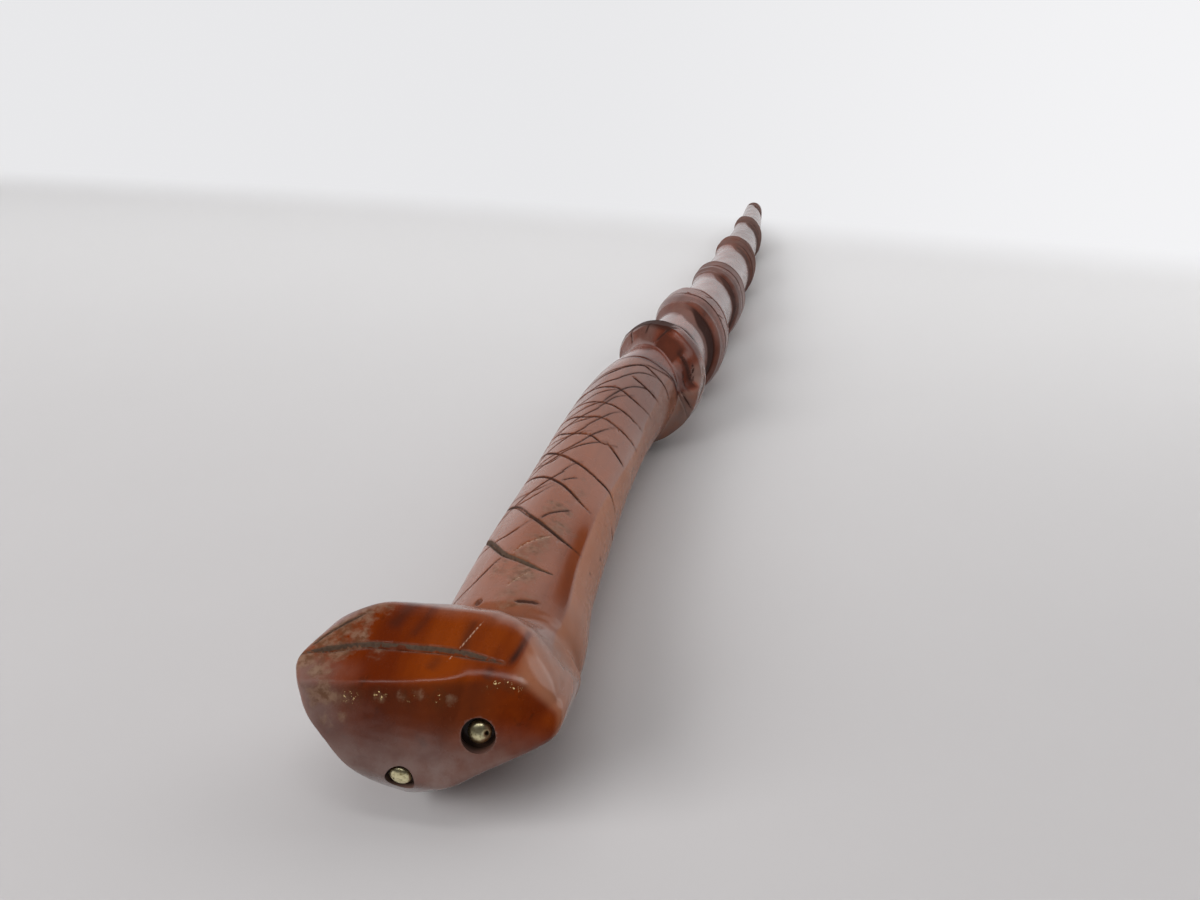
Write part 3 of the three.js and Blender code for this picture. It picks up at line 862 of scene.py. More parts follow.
def dowel_bit():
    seam = np.array([float(side_at(SEAM)), SEAM, float(above_at(SEAM))])
    depth = np.array([0, DOWEL_HOLE_DEPTH, 0])
    return drill_bit(seam - depth, seam + depth, DOWEL_HOLE, 48)


def rough_of(points):
    """The slight unevenness that the knife leaves."""
    return 0.13 * waver(points * [1, 0.45, 1], 15, 3) + 0.018 * waver(points * [1, 0.3, 1], 4, 4)


def kept_in_box(points):
    """Worn flat where it lies on the ground, and never outside the model's own box."""
    low = np.array(cad_box[0]) * 1000 - HOME
    high = np.array(cad_box[1]) * 1000 - HOME
    low[2] = -HOME[2]
    return np.clip(points, low, high)


def put_in_place(mesh, points, crease):
    """The mesh in the model's frame, smooth but for edges sharper than the crease, in degrees."""
    set_points(mesh, (points + HOME) / 1000)
    mesh.shade_smooth()
    mesh.set_sharp_from_angle(angle=math.radians(crease))


# Node helpers
def fill(inputs, values):
    """Each named input gets its plain value, or a link from another node."""
    for key, value in values.items():
        if isinstance(value, bpy.types.NodeSocket):
            value.id_data.links.new(value, inputs[key])
        else:
            inputs[key].default_value = value


def node(tree, kind, values=None, **settings):
    made = tree.nodes.new(kind)
    for key, value in settings.items():
        setattr(made, key, value)
    fill(made.inputs, values or {})
    return made


def value_of(kind, values, output=0, **settings):
    """What a new node puts out; it goes into the tree of the sockets that feed it."""
    tree = next(value.id_data for value in values.values() if isinstance(value, bpy.types.NodeSocket))
    return node(tree, kind, values, **settings).outputs[output]


def node_group(kind, name, inputs, outputs):
    """A group with named inputs and outputs, with what it is given and what it makes."""
    tree = bpy.data.node_groups.new(name, kind)
    for label, sort, value in inputs:
        socket = tree.interface.new_socket(label, in_out="INPUT", socket_type="NodeSocket" + sort)
        if value is not None:
            socket.default_value = value
    for label, sort in outputs:
        tree.interface.new_socket(label, in_out="OUTPUT", socket_type="NodeSocket" + sort)
    return tree, tree.nodes.new("NodeGroupInput").outputs, tree.nodes.new("NodeGroupOutput").inputs


def math_node(operation, first, second, clamp=False):
    return value_of("ShaderNodeMath", {0: first, 1: second}, operation=operation, use_clamp=clamp)


def plus(first, second, clamp=False):
    return math_node("ADD", first, second, clamp)


def minus(first, second, clamp=False):
    return math_node("SUBTRACT", first, second, clamp)


def times(first, second, clamp=False):
    return math_node("MULTIPLY", first, second, clamp)


def larger(first, second):
    return math_node("MAXIMUM", first, second)


def mix_color(share, first, second):
    """From the first colour, where the share is 0, to the second, where it is 1."""
    return value_of("ShaderNodeMix", {0: share, 6: first, 7: second}, 2, data_type="RGBA")


def mix_shader(share, first, second):
    return value_of("ShaderNodeMixShader", {0: share, 1: first, 2: second})


def spread(value, low, high, to_low=0.0, to_high=1.0):
    """From to_low, where the value is low, gently to to_high, where it is high."""
    return value_of("ShaderNodeMapRange", {
        "Value": value, "From Min": low, "From Max": high, "To Min": to_low, "To Max": to_high,
    }, interpolation_type="SMOOTHSTEP")


def noise(place, scale, detail, roughness=0.5, distortion=0.0):
    return value_of("ShaderNodeTexNoise", {
        "Vector": place, "Scale": scale, "Detail": detail, "Roughness": roughness, "Distortion": distortion})


def stretched(place, scale, turn=(0, 0, 0)):
    return value_of("ShaderNodeMapping", {"Vector": place, "Scale": scale, "Rotation": turn})


def bumped(height, strength, distance):
    return value_of("ShaderNodeBump", {"Height": height, "Strength": strength, "Distance": distance})


# Geometry trees
def finished_tree(tree, geometry, material, made):
    """Every geometry tree ends the same way: real geometry with its material."""
    real = value_of("GeometryNodeRealizeInstances", {"Geometry": geometry})
    dressed = value_of("GeometryNodeSetMaterial", {"Geometry": real, "Material": material})
    fill(made, {"Geometry": dressed})
    return tree


def round_blank_tree():
    """The round blank before carving: a circle swept along the line of the stick."""
    tree, given, made = node_group("GeometryNodeTree", "round_blank", [
        ("Geometry", "Geometry", None), ("Sides", "Int", 220), ("Material", "Material", None),
    ], [("Geometry", "Geometry")])
    reach = node(tree, "GeometryNodeInputNamedAttribute", {"Name": "reach"}).outputs[0]
    line = value_of("GeometryNodeMeshToCurve", {"Mesh": given["Geometry"]})
    ring = value_of("GeometryNodeCurvePrimitiveCircle", {"Resolution": given["Sides"], "Radius": 1.0})
    swept = value_of("GeometryNodeCurveToMesh", {
        "Curve": line, "Profile Curve": ring, "Scale": reach, "Fill Caps": True})
    return finished_tree(tree, swept, given["Material"], made)


def brass_dome_tree():
    """A hammered dome on a flat bottom, with one deep dent beside its top."""
    tree, given, made = node_group("GeometryNodeTree", "brass_dome", [
        ("Geometry", "Geometry", None), ("Radius", "Float", 3.3), ("Height", "Float", 2.3),
        ("Fullness", "Float", 0.85), ("Dent place", "Vector", (1.4, 0, 1.9)), ("Dent size", "Float", 0.8),
        ("Dent depth", "Float", 0.4), ("Hammering", "Float", 0.05), ("Seed", "Float", 0.0),
        ("Seat", "Vector", (0, 0, 0)), ("Turn", "Vector", (0, 0, 0)), ("Material", "Material", None),
    ], [("Geometry", "Geometry")])
    # the upper half of a ball, set on a flat bottom
    ball = node(tree, "GeometryNodeMeshUVSphere", {"Segments": 96, "Rings": 80, "Radius": 1.0}).outputs[0]
    spot = node(tree, "GeometryNodeInputPosition").outputs[0]
    parts = node(tree, "ShaderNodeSeparateXYZ", {"Vector": spot}).outputs
    rise = math_node("POWER", larger(parts["Z"], 0.0), given["Fullness"])
    shaped = value_of("ShaderNodeCombineXYZ", {
        "X": times(parts["X"], given["Radius"]),
        "Y": times(parts["Y"], given["Radius"]),
        "Z": times(rise, given["Height"])})
    dome = value_of("GeometryNodeSetPosition", {"Geometry": ball, "Position": shaped})
    # the dent and the marks of the hammer, which fade out at the bottom
    gap = value_of("ShaderNodeVectorMath", {0: spot, 1: given["Dent place"]}, "Value", operation="DISTANCE")
    gap = math_node("DIVIDE", gap, given["Dent size"])
    dent = math_node("POWER", 2.718, times(times(gap, gap), -1.0))
    mottle = value_of("ShaderNodeTexNoise", {
        "Vector": spot, "W": given["Seed"], "Scale": 0.9, "Detail": 2.0}, noise_dimensions="4D")
    beat = times(minus(mottle, 0.5), given["Hammering"])
    drop = minus(beat, times(dent, given["Dent depth"]))
    shift = value_of("ShaderNodeCombineXYZ", {
        "Z": times(drop, times(parts["Z"], 2.5, clamp=True))})
    marked = value_of("GeometryNodeStoreNamedAttribute", {
        "Geometry": dome, "Name": "dirt", "Value": dent})
    dented = value_of("GeometryNodeSetPosition", {"Geometry": marked, "Offset": shift})
    turned = value_of("FunctionNodeEulerToRotation", {0: given["Turn"]})
    seated = value_of("GeometryNodeTransform", {
        "Geometry": dented, "Translation": given["Seat"], "Rotation": turned})
    return finished_tree(tree, seated, given["Material"], made)


# The pieces
def blank(name, stops, sides, blank_tree, wood):
    """The round blank over a stretch of the stick, as an object in millimetres."""
    mesh = bpy.data.meshes.new(name)
    line = np.stack([side_at(stops), stops, above_at(stops)], -1)
    mesh.from_pydata(line.tolist(), [(k, k + 1) for k in range(len(stops) - 1)], [])
    store(mesh, "reach", round_at(stops))
    thing = object_of(name, mesh)
    grown(thing, blank_tree, {"Sides": sides, "Material": wood})
    return thing


def finish_wood(thing, points, wood, crease, marks):
    """The marks that the finish is painted by, the finish itself, and the piece in its place."""
    mesh = thing.data
    for name, values in marks.items():
        store(mesh, name, values)
    mesh.materials.clear()
    mesh.materials.append(wood)
    put_in_place(mesh, kept_in_box(points), crease)


def eye_frame(eye):
    """The socket's middle and the three directions there: out of the wood, aside and up."""
    out = np.array(eye["way"])
    out /= np.linalg.norm(out)
    aside = np.array([1.0, 0, 0]) - out * out[0]
    aside /= np.linalg.norm(aside)
    return np.array(eye["spot"]), out, aside, np.cross(out, aside)


def make_eye(name, eye, dome_tree, brass):
    """A brass dome, a little dented, pressed over the nail at the bottom of its socket."""
    spot, out, aside, up = eye_frame(eye)
    # the dome's rim is 0.1 mm clear of the socket's floor
    seat = spot - out * (eye["deep"] - 0.1) + aside * eye["aside"]
    turn = Matrix(np.stack([aside, up, out], -1).tolist()).to_euler()
    dome = object_of(name, bpy.data.meshes.new(name))
    mesh = grown(dome, dome_tree, {
        "Radius": eye["cap"], "Height": eye["height"], "Seed": eye["seed"],
        "Dent place": eye["dent"], "Dent size": eye["dent_size"], "Dent depth": 0.6 * eye["dent_size"],
        "Seat": seat.tolist(), "Turn": tuple(turn), "Material": brass})
    put_in_place(mesh, points_of(mesh), DOME_CREASE)
    return dome


def eye_bits():
    """The drill bits for the socket of each eye and for the hole of its nail."""
    bits = []
    for eye in EYES.values():
        spot, out = eye_frame(eye)[:2]
        bits.append(drill_bit(spot - out * eye["deep"], spot + out * 6, eye["socket"], 72))
        bits.append(drill_bit(*eye["nail"], NAIL_HOLE, 20))
    return bits


def eye_marks(points, field):
    """Which points lie in a socket, painted dark as painted shade, and which on the wood at its rim, painted
    pale as a painted glint.
    """
    hollow = np.zeros(len(points))
    rim = np.zeros(len(points))
    for eye in EYES.values():
        spot, out = eye_frame(eye)[:2]
        off = points - spot
        rise = off @ out
        gap = np.linalg.norm(off - rise[:, None] * out, axis=1)
        inside = (gap < eye["socket"] + 0.06) & (np.abs(rise) < 5)
        hollow = np.maximum(hollow, inside & (field < HOLE_FIELD))
        rim = np.maximum(rim, inside & (field >= HOLE_FIELD))
    return hollow, rim


def head_blank():
    """The head with its flat faces, as an object in millimetres."""
    turn = 2 * np.pi * np.arange(HEAD_SIDES) / HEAD_SIDES
    rings = []
    for fall in np.pi * np.arange(1, HEAD_RINGS) / HEAD_RINGS:
        level = np.full(HEAD_SIDES, np.cos(fall))
        ways = np.stack([np.sin(fall) * np.cos(turn), level, -np.sin(fall) * np.sin(turn)], -1)
        rings.append(HEAD_MIDDLE + ways * head_reach(ways)[:, None])
    mesh = mesh_from("carved_handle", *round_body(rings))
    outward_faces(mesh)
    return object_of("carved_handle", mesh)


def handle_blank(blank_tree, wood):
    """The head and the neck joined up, ready to be carved."""
    handle = head_blank()
    neck = blank("neck_blank", np.arange(NECK_START, SEAM + 10.5, 1.5), HEAD_SIDES, blank_tree, wood)
    along, turn = stick_place(points_of(neck.data))[:2]
    set_points(neck.data, on_stick(along, np.degrees(turn)))
    outward_faces(neck.data)
    with reshaping(handle.data) as both:
        both.from_mesh(neck.data)
    bpy.data.objects.remove(neck)
    applied(handle, "REMESH", mode="VOXEL", voxel_size=HANDLE_GRID, adaptivity=0)
    return handle


def make_handle(blank_tree, wood):
    """The head and the neck in one piece of wood."""
    handle = handle_blank(blank_tree, wood)
    # the carving: what is past the seam is sawn off afterwards
    points = points_of(handle.data)
    body = points[:, 1] < SEAM + 6
    points[body] = onto_handle(points[body], 2)
    slope = field_slope(points)
    out = slope / np.maximum(np.linalg.norm(slope, axis=1), 1e-6)[:, None]
    cuts = handle_cuts()
    worn_end = 0.5 * np.clip(points[:, 1] - (SEAM - 1), 0, 1) ** 2
    depth = (carve(points, cuts)[0] + rough_of(points) + worn_end) * body
    set_points(handle.data, points - out * depth[:, None])
    thinned(handle, HANDLE_TRIANGLES)
    sawn_at_seam(handle.data, True)
    mesh = drilled(handle, eye_bits() + [dowel_bit()])
    # the finish: the coil starts on the handle, and looks there as it does on the shaft
    points = points_of(mesh)
    field = handle_field(points)
    hollow, rim = eye_marks(points, field)
    edge, grime_and_glint = carve(points, cuts)[1:]
    along, turn = stick_place(points)[:2]
    on_coil = ease(0, 0.3, coil_parts(along, turn)[0]) * (along > 225)
    tone, varnish, painted_sheen = coil_looks(points)
    finish_wood(handle, points, wood, HANDLE_CREASE, {
        "cut_edge": np.where(field > SKIN_FIELD, edge, CUT_REACH),
        "grime_and_glint": grime_and_glint,
        "socket": hollow,
        "tone": handle_tone(points) * (1 - on_coil) + tone * on_coil,
        "varnish": handle_varnish(points) * (1 - on_coil) + varnish * on_coil,
        # the socket's rim is given painted sheen, a painted glint
        "painted_sheen": np.maximum(handle_painted_sheen(points) * (1 - on_coil) + painted_sheen * on_coil, 0.6 * rim),
        "flecks": handle_flecks(points),
        "wear": handle_wear(points),
    })
    return handle


def make_shaft(blank_tree, wood):
    """The tapered shaft with the snake's body coiled round it."""
    stops = np.concatenate([
        np.arange(SEAM - 4, 430, 0.55),
        np.arange(430, 640, 0.9),
        np.arange(640, TIP - TIP_ROUNDING, 1.5),
        TIP - np.array([TIP_ROUNDING, 0.9, 0.4, 0.1, 0]),
    ])
    shaft = blank("carved_shaft", stops, SHAFT_SIDES, blank_tree, wood)
    mesh = shaft.data
    along, turn = stick_place(points_of(mesh))[:2]
    along = np.clip(along, stops[0], TIP)
    points = on_stick(along, np.degrees(turn))
    cuts = stick_cuts(SHAFT_CUTS)
    tip_end = 0.2 * np.clip((along - TIP + TIP_ROUNDING) / TIP_ROUNDING, 0, 1) ** 2.2
    worn_end = 0.4 * np.clip(SEAM + 1 - along, 0, 1) ** 2
    reach = stick_round(along, turn) * (1 - tip_end) - carve(points, cuts)[0] - rough_of(points) - worn_end
    set_points(mesh, out_from_line(along, turn, reach))
    thinned(shaft, SHAFT_TRIANGLES)
    sawn_at_seam(shaft.data, False)
    mesh = drilled(shaft, [dowel_bit()])
    points = points_of(mesh)
    edge, grime_and_glint = carve(points, cuts)[1:]
    tone, varnish, painted_sheen = coil_looks(points)
    none = np.zeros(len(points))
    finish_wood(shaft, points, wood, SHAFT_CREASE, {
        "cut_edge": edge, "grime_and_glint": grime_and_glint, "socket": none, "tone": tone, "varnish": varnish, "painted_sheen": painted_sheen,
        "flecks": none, "wear": none,
    })
    return shaft


# Material groups
def wood_grain_group():
    """Colour and fibre of the wood; the grain runs along the stick."""
    given, made = node_group("ShaderNodeTree", "wood_grain", [
        ("Vector", "Vector", None), ("Light wood", "Color", (0.4, 0.1, 0.02, 1)),
        ("Deep wood", "Color", (0.2, 0.03, 0.01, 1)), ("Dark streak", "Color", (0.05, 0.01, 0.005, 1)),
        ("Streaks", "Float", 0.5),
    ], [("Color", "Color"), ("Fibre", "Float")])[1:]
    fine = stretched(given["Vector"], (1, 0.045, 1))
    cloud = noise(stretched(given["Vector"], (1, 0.16, 1)), 48, 4, 0.55)
    bands = noise(fine, 210, 5, 0.6, 0.35)
    fibre = noise(fine, 1500, 3, 0.6)
    tone = plus(spread(cloud, 0.36, 0.66), times(fibre, 0.22))
    tone = plus(tone, -0.1, clamp=True)
    color = mix_color(tone, given["Deep wood"], given["Light wood"])
    streak = times(spread(bands, 0.57, 0.72), spread(cloud, 0.36, 0.56, 1, 0.25))
    color = mix_color(times(streak, given["Streaks"]), color, given["Dark streak"])
    fill(made, {"Color": color, "Fibre": fibre})


def dirt_and_glint_group():
    """Old dirt and dust that lie in the cuts, and pale scratches that also paint highlights on worn edges."""
    given, made = node_group("ShaderNodeTree", "dirt_and_glints_in_cuts", [
        ("Vector", "Vector", None), ("Color", "Color", (0.5, 0.5, 0.5, 1)), ("Edge", "Float", 2.0),
        ("Grime and glint", "Float", 0.0), ("Dirt", "Color", (0.04, 0.017, 0.013, 1)),
        ("Dust", "Color", (0.085, 0.055, 0.038, 1)), ("Scratch and glint", "Color", (0.46, 0.31, 0.22, 1)),
    ], [("Color", "Color"), ("Dull", "Float")])[1:]
    edge, grime_and_glint = given["Edge"], given["Grime and glint"]
    grit = noise(given["Vector"], 900, 3)
    uneven = plus(edge, times(minus(grit, 0.5), 0.35))
    inside = spread(uneven, -0.12, 0.1, 1, 0)
    around = times(spread(edge, 0, 0.9, 1, 0), 0.3)
    share = times(larger(inside, around), spread(grime_and_glint, 0.1, 0.9))
    dusty = times(spread(grime_and_glint, 1.0, 1.3), spread(grit, 0.3, 0.6, 0.55, 1))
    color = mix_color(share, given["Color"], mix_color(dusty, given["Dirt"], given["Dust"]))
    # pale where the dirtiness is below zero: a scratch and a painted highlight
    bare = times(inside, spread(grime_and_glint, -0.8, -0.2, 1, 0))
    color = mix_color(bare, color, given["Scratch and glint"])
    fill(made, {"Color": color, "Dull": larger(share, bare)})


def wear_group():
    """Patches where the varnish has gone and the wood turned grey."""
    given, made = node_group("ShaderNodeTree", "bare_patches", [
        ("Vector", "Vector", None), ("Color", "Color", (0.5, 0.5, 0.5, 1)), ("Wear", "Float", 0.0),
        ("Grey wood", "Color", (0.2, 0.12, 0.078, 1)), ("Brown wood", "Color", (0.1, 0.048, 0.024, 1)),
    ], [("Color", "Color"), ("Bare", "Float")])[1:]
    blots = noise(given["Vector"], 260, 6, 0.65)
    tones = noise(given["Vector"], 420, 4, 0.6)
    uneven = plus(given["Wear"], times(minus(blots, 0.5), 2.2))
    bare = times(spread(uneven, 0.15, 1.0), spread(given["Wear"], 0.05, 0.3))
    worn = mix_color(spread(tones, 0.38, 0.62), given["Brown wood"], given["Grey wood"])
    fill(made, {"Color": mix_color(times(bare, 0.8), given["Color"], worn), "Bare": bare})


def varnish_group():
    """How the varnish has worn: gloss, fine scratches and bubbles."""
    given, made = node_group("ShaderNodeTree", "worn_varnish", [
        ("Vector", "Vector", None), ("Gloss", "Float", 0.15), ("Wear", "Float", 0.1),
    ], [("Roughness", "Float"), ("Bumps", "Float")])[1:]
    patches = noise(given["Vector"], 70, 5, 0.6)
    scratches = noise(stretched(given["Vector"], (1, 0.2, 1), (0.2, 0.1, 0.6)), 700, 4, 0.7)
    rough = plus(times(spread(patches, 0.35, 0.75), given["Wear"]), given["Gloss"])
    rough = plus(rough, times(spread(scratches, 0.55, 0.75), 0.08))
    fill(made, {"Roughness": rough, "Bumps": noise(given["Vector"], 420, 2)})


def flake_group():
    """Bright golden flakes of lifted varnish over a brown stain."""
    given, made = node_group("ShaderNodeTree", "varnish_flakes", [
        ("Vector", "Vector", None), ("Color", "Color", (0.5, 0.5, 0.5, 1)), ("Flakes", "Float", 0.0),
        ("Gold", "Color", (0.72, 0.55, 0.26, 1)), ("Brown", "Color", (0.05, 0.022, 0.008, 1)),
    ], [("Color", "Color")])[1:]
    grit = noise(given["Vector"], 1100, 2, 0.6)
    blots = noise(given["Vector"], 420, 3)
    stain = times(spread(blots, 0.4, 0.6), given["Flakes"])
    color = mix_color(times(stain, 0.6), given["Color"], given["Brown"])
    bright = times(spread(grit, 0.6, 0.66), spread(given["Flakes"], 0.3, 0.7))
    fill(made, {"Color": mix_color(bright, color, given["Gold"])})


def placed_group(name, values):
    """What a group puts out, placed in the tree of the sockets that feed it."""
    tree = values["Vector"].id_data
    return node(tree, "ShaderNodeGroup", values, node_tree=bpy.data.node_groups[name]).outputs


# Materials
# What the varnish shows of the room on the camera's side.
DARK_ROOM = (0.05, 0.045, 0.045, 1)


def fresh_material(name):
    """A new material, with its shader and the place on the piece."""
    material = bpy.data.materials.new(name)
    material.use_nodes = True
    tree = material.node_tree
    tree.nodes.clear()
    shader = node(tree, "ShaderNodeBsdfPrincipled")
    node(tree, "ShaderNodeOutputMaterial", {"Surface": shader.outputs[0]})
    return material, shader, node(tree, "ShaderNodeTexCoord").outputs["Object"]


def mark_of(material, name):
    """A mark that is stored on the piece's points."""
    return node(material.node_tree, "ShaderNodeAttribute", attribute_name=name).outputs["Fac"]


def varnished_wood(name, light, deep, streak, stain_and_shade, pale, gloss):
    """Varnished wood, with the colours of its grain, of its dark stain, which also paints shade, and of its
    paler places, which also paint light and reflection.
    """
    material, shader, place = fresh_material(name)
    names = ("tone", "wear", "cut_edge", "grime_and_glint", "socket", "varnish", "flecks", "painted_sheen")
    marks = {name: mark_of(material, name) for name in names}
    painted_sheen_color = (0.17, 0.115, 0.1, 1)
    # the sockets are painted dark, as painted shade in the deep hole
    socket_floor = (0.035, 0.019, 0.013, 1)
    # the wood, its stain and painted shade, and its painted sheen, a painted reflection in the varnish
    grain = placed_group("wood_grain", {
        "Vector": place, "Light wood": light, "Deep wood": deep, "Dark streak": streak, "Streaks": 0.7})
    darker = times(marks["tone"], 1.0, clamp=True)
    paler = times(marks["tone"], -1.0, clamp=True)
    color = mix_color(paler, grain["Color"], mix_color(0.75, grain["Color"], pale))
    color = mix_color(darker, color, stain_and_shade)
    clouds = noise(place, 120, 5, 0.6)
    color = mix_color(times(marks["painted_sheen"], spread(clouds, 0.3, 0.65, 0.5, 1)), color, painted_sheen_color)
    # wear, dirt and painted highlights in the cuts, and flakes
    worn = placed_group("bare_patches", {"Vector": place, "Color": color, "Wear": marks["wear"]})
    dirt = placed_group("dirt_and_glints_in_cuts", {
        "Vector": place, "Color": worn["Color"], "Edge": marks["cut_edge"], "Grime and glint": marks["grime_and_glint"]})
    flaked = placed_group("varnish_flakes", {
        "Vector": place, "Color": dirt["Color"], "Flakes": marks["flecks"]})
    varnish = placed_group("worn_varnish", {"Vector": place, "Gloss": gloss, "Wear": 0.14})
    # rough where it is dirty, bare or without varnish
    rough = plus(varnish["Roughness"], times(dirt["Dull"], 0.4))
    rough = plus(rough, times(worn["Bare"], 0.3))
    rough = plus(rough, spread(marks["varnish"], 0.05, 0.3, 0.5, 0))
    rough = plus(rough, times(marks["socket"], 0.5))
    half_bare = times(worn["Bare"], 0.5)
    coat = times(times(marks["varnish"], 0.95), minus(1.0, dirt["Dull"], clamp=True))
    coat = times(coat, minus(1.0, half_bare, clamp=True))
    height = minus(plus(times(grain["Fibre"], 0.35), varnish["Bumps"]), half_bare)
    fill(shader.inputs, {
        "Base Color": mix_color(marks["socket"], flaked["Color"], socket_floor),
        "Roughness": rough,
        "Specular IOR Level": 0.1,
        "Coat Weight": coat,
        "Coat Roughness": 0.17,
        "Coat IOR": 1.5,
        "Normal": bumped(height, 0.25, 0.0003),
    })
    return material


def worn_brass():
    material, shader, place = fresh_material("worn_brass")
    patch = noise(place, 900, 5, 0.65)
    dent = mark_of(material, "dirt")
    color = mix_color(spread(patch, 0.45, 0.75), (0.86, 0.8, 0.5, 1), (0.4, 0.33, 0.14, 1))
    fill(shader.inputs, {
        "Base Color": mix_color(spread(dent, 0.35, 0.8), color, (0.03, 0.025, 0.015, 1)),
        "Roughness": spread(patch, 0.3, 0.75, 0.3, 0.5),
        "Metallic": 1,
        "Normal": bumped(patch, 0.3, 0.0001),
    })
    return material


def drawn_steel():
    material, shader, place = fresh_material("drawn_steel")
    patch = noise(place, 1500, 4)
    fill(shader.inputs, {
        "Base Color": mix_color(patch, (0.42, 0.41, 0.4, 1), (0.25, 0.2, 0.17, 1)),
        "Roughness": spread(patch, 0.3, 0.7, 0.3, 0.5),
        "Metallic": 1,
    })
    return material


def bare_beech():
    material, shader, place = fresh_material("bare_beech")
    grain = placed_group("wood_grain", {
        "Vector": place, "Light wood": (0.62, 0.42, 0.25, 1), "Deep wood": (0.48, 0.3, 0.16, 1),
        "Dark streak": (0.3, 0.17, 0.09, 1), "Streaks": 0.4})
    fill(shader.inputs, {
        "Base Color": grain["Color"],
        "Roughness": 0.7,
        "Normal": bumped(grain["Fibre"], 0.3, 0.0002),
    })
    return material


def pale_paper():
    """Paper painted darker near the camera and lighter to the right, as painted light falloff, that fades
    into a pale wall, and is clear from behind.
    """
    material, shader, place = fresh_material("pale_paper")
    tree = material.node_tree
    parts = node(tree, "ShaderNodeSeparateXYZ", {"Vector": place}).outputs
    near = mix_color(noise(place, 5, 4), (0.47, 0.455, 0.457, 1), (0.51, 0.495, 0.497, 1))
    # darker near the camera and paler far off: painted light falloff
    color = mix_color(spread(parts["Y"], -0.5, 0.35), near, (0.73, 0.725, 0.728, 1))
    # lighter to the right by the wall: painted light
    right = times(spread(parts["X"], 0.1, 0.7), spread(parts["Y"], -0.2, 0.4))
    color = mix_color(times(right, 0.6), color, (0.85, 0.85, 0.85, 1))
    fill(shader.inputs, {"Base Color": color, "Roughness": 0.85, "Specular IOR Level": 0.05})
    # the wall behind glows with its own pale colour, painted brighter to the right, seen directly and in the
    # varnish
    rays = node(tree, "ShaderNodeLightPath").outputs
    wall = mix_color(spread(parts["X"], -0.3, 0.5), (0.81, 0.81, 0.825, 1), (0.9, 0.9, 0.915, 1))
    wall = value_of("ShaderNodeEmission", {"Color": wall})
    foot = plus(times(times(parts["X"], parts["X"]), 0.063), times(parts["X"], 0.164))
    beyond = spread(plus(parts["Y"], foot), 0.29, 0.47)
    seen = times(larger(rays["Is Camera Ray"], rays["Is Glossy Ray"]), beyond)
    paper = mix_shader(seen, shader.outputs[0], wall)
    # in the varnish the floor in front of the stick is as dark as the room it fades into
    dark = node(tree, "ShaderNodeEmission", {"Color": DARK_ROOM}).outputs[0]
    front = times(spread(parts["Y"], -0.95, -0.7, 1, 0), rays["Is Glossy Ray"])
    paper = mix_shader(front, paper, dark)
    # from behind, the paper is clear, so that the stick is seen from that side too
    back = node(tree, "ShaderNodeNewGeometry").outputs["Backfacing"]
    clear = node(tree, "ShaderNodeBsdfTransparent").outputs[0]
    paper = mix_shader(times(rays["Is Camera Ray"], back), paper, clear)
    fill(tree.nodes["Material Output"].inputs, {"Surface": paper})
    return material


# Camera, backdrop and light
def set_camera():
    """The camera, at the photograph's angle."""
    data = bpy.data.cameras.new("photo_camera")
    data.sensor_width = SENSOR_WIDTH
    data.lens = FOCAL_LENGTH / PHOTO_WIDTH * SENSOR_WIDTH
    data.clip_start = 0.01
    data.clip_end = 50
    camera = object_of("photo_camera", data)
    camera.location = (CAMERA_PLACE + HOME) / 1000
    camera.rotation_euler = (math.pi / 2 - CAMERA_DOWN, 0, CAMERA_ASIDE)
    bpy.context.scene.camera = camera


def make_backdrop():
    """A sheet of pale paper that lies flat under the stick and curves up behind its tip."""
    bend = 0.05
    top = 0.78
    front = -2.4
    across = np.linspace(-2.2, 2.2, 45)
    foot = 0.47 - 0.16 * across - 0.06 * across ** 2
    rise = np.linspace(0, math.pi / 2, 15)
    rows = [(np.full(len(across), front), 0)]
    rows += [(foot + bend * math.sin(t), bend - bend * math.cos(t)) for t in rise]
    rows.append((foot + bend, top))
    points = np.vstack([np.stack([across, back, np.full(len(across), up)], -1) for back, up in rows])
    left = np.arange(len(across) - 1)
    faces = []
    for i in range(len(rows) - 1):
        here, there = i * len(across) + left, (i + 1) * len(across) + left
        faces.append(np.stack([here, here + 1, there + 1, there], -1))
    mesh = mesh_from("paper_sweep", points, np.vstack(faces))
    mesh.shade_smooth()
    mesh.materials.append(pale_paper())
    floor = object_of("paper_sweep", mesh)


def make_room():
    """A pale room: bright above and behind, and dark where the varnish shows it."""
    world = bpy.data.worlds.new("soft_room")
    bpy.context.scene.world = world
    world.use_nodes = True
    tree = world.node_tree
    tree.nodes.clear()
    rays = node(tree, "ShaderNodeLightPath").outputs
    way = node(tree, "ShaderNodeTexCoord").outputs["Generated"]
    parts = node(tree, "ShaderNodeSeparateXYZ", {"Vector": way}).outputs
    height = plus(times(parts["Z"], 0.9), times(parts["Y"], 0.8))
    soft = value_of("ShaderNodeBackground", {
        "Color": (1, 0.99, 0.99, 1), "Strength": spread(height, -0.3, 0.7, 0.11, 0.26)})
    dark = node(tree, "ShaderNodeBackground", {"Color": DARK_ROOM}).outputs[0]
    seen = node(tree, "ShaderNodeBackground", {"Color": (0.85, 0.85, 0.86, 1)}).outputs[0]
    room = mix_shader(rays["Is Glossy Ray"], soft, dark)
    room = mix_shader(rays["Is Camera Ray"], room, seen)
    node(tree, "ShaderNodeOutputWorld", {"Surface": room})


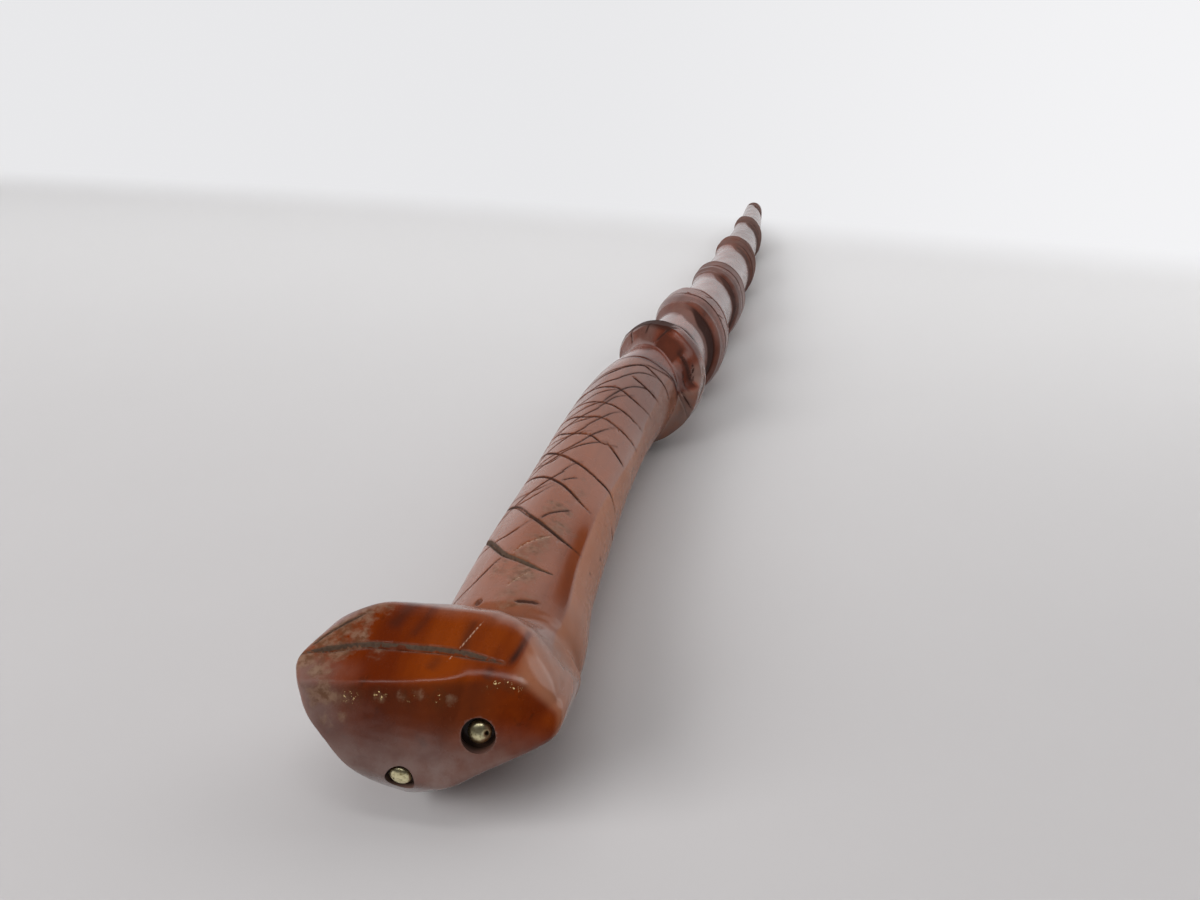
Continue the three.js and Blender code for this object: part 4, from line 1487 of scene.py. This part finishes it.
# Each lamp: its name, where it is, where it looks, its size, its watts, and whether the varnish shows it;
# in metres, in the model's frame.
LAMPS = [
    ("left_window", (-1.3, -1.6, 1.2), (0, -0.2, 0), (1.6, 1.2), 45, False),
    ("right_window", (1.3, 0.25, 0.8), (0, -0.2, 0), (1.0, 0.8), 2, False),
    ("top_softbox", (-0.1, 0.3, 1.6), (-0.05, 0.3, 0), (1.6, 1.2), 4, False),
    ("overhead_strip", (0, -0.66, 1.3), (0, -0.35, 0), (0.9, 0.2), 2.6, True),
    ("heel_softbox", (0.62, 0.1, 0.76), (0.03, -0.43, 0.04), (0.66, 0.66), 1.9, True),
    ("front_softbox", (-0.6, -0.9, 1.2), (0, -0.42, 0), (0.5, 0.5), 0.5, True),
]


def make_lamp(name, place, toward, size, watts, glossy):
    data = bpy.data.lights.new(name, "AREA")
    data.shape = "RECTANGLE"
    data.size, data.size_y = size
    data.energy = watts
    lamp = object_of(name, data)
    lamp.location = place
    lamp.rotation_euler = (Vector(toward) - Vector(place)).to_track_quat("-Z", "Y").to_euler()
    lamp.visible_glossy = glossy
    lamp.visible_camera = False


# All together
set_camera()
make_backdrop()
make_room()
for lamp in LAMPS:
    make_lamp(*lamp)
wood_grain_group()
dirt_and_glint_group()
wear_group()
varnish_group()
flake_group()
handle_wood = varnished_wood(
    "varnished_handle_wood", light=(0.185, 0.03, 0.0006, 1), deep=(0.098, 0.012, 0.0004, 1),
    streak=(0.022, 0.006, 0.002, 1), stain_and_shade=(0.035, 0.01, 0.006, 1), pale=(0.42, 0.15, 0.062, 1), gloss=0.2)
shaft_wood = varnished_wood(
    "varnished_shaft_wood", light=(0.2, 0.045, 0.02, 1), deep=(0.11, 0.024, 0.012, 1),
    streak=(0.03, 0.01, 0.007, 1), stain_and_shade=(0.03, 0.011, 0.008, 1), pale=(0.32, 0.13, 0.08, 1), gloss=0.22)
brass = worn_brass()
blank_tree = round_blank_tree()
dome_tree = brass_dome_tree()

handle = make_handle(blank_tree, handle_wood)
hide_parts("handle")
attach(handle, "root")
shaft = make_shaft(blank_tree, shaft_wood)
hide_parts("shaft")
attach(shaft, "root")
for name, eye in EYES.items():
    dome = make_eye(name + "_dome", eye, dome_tree, brass)
    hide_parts(name + "_cap")
    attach(dome, "root")
steel = drawn_steel()
beech = bare_beech()
for name, finish in (("joint_dowel", beech), ("upper_eye_nail", steel), ("lower_eye_nail", steel)):
    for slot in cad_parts[name].material_slots:
        slot.material = finish

view = bpy.context.scene.view_settings
view.view_transform = "Standard"
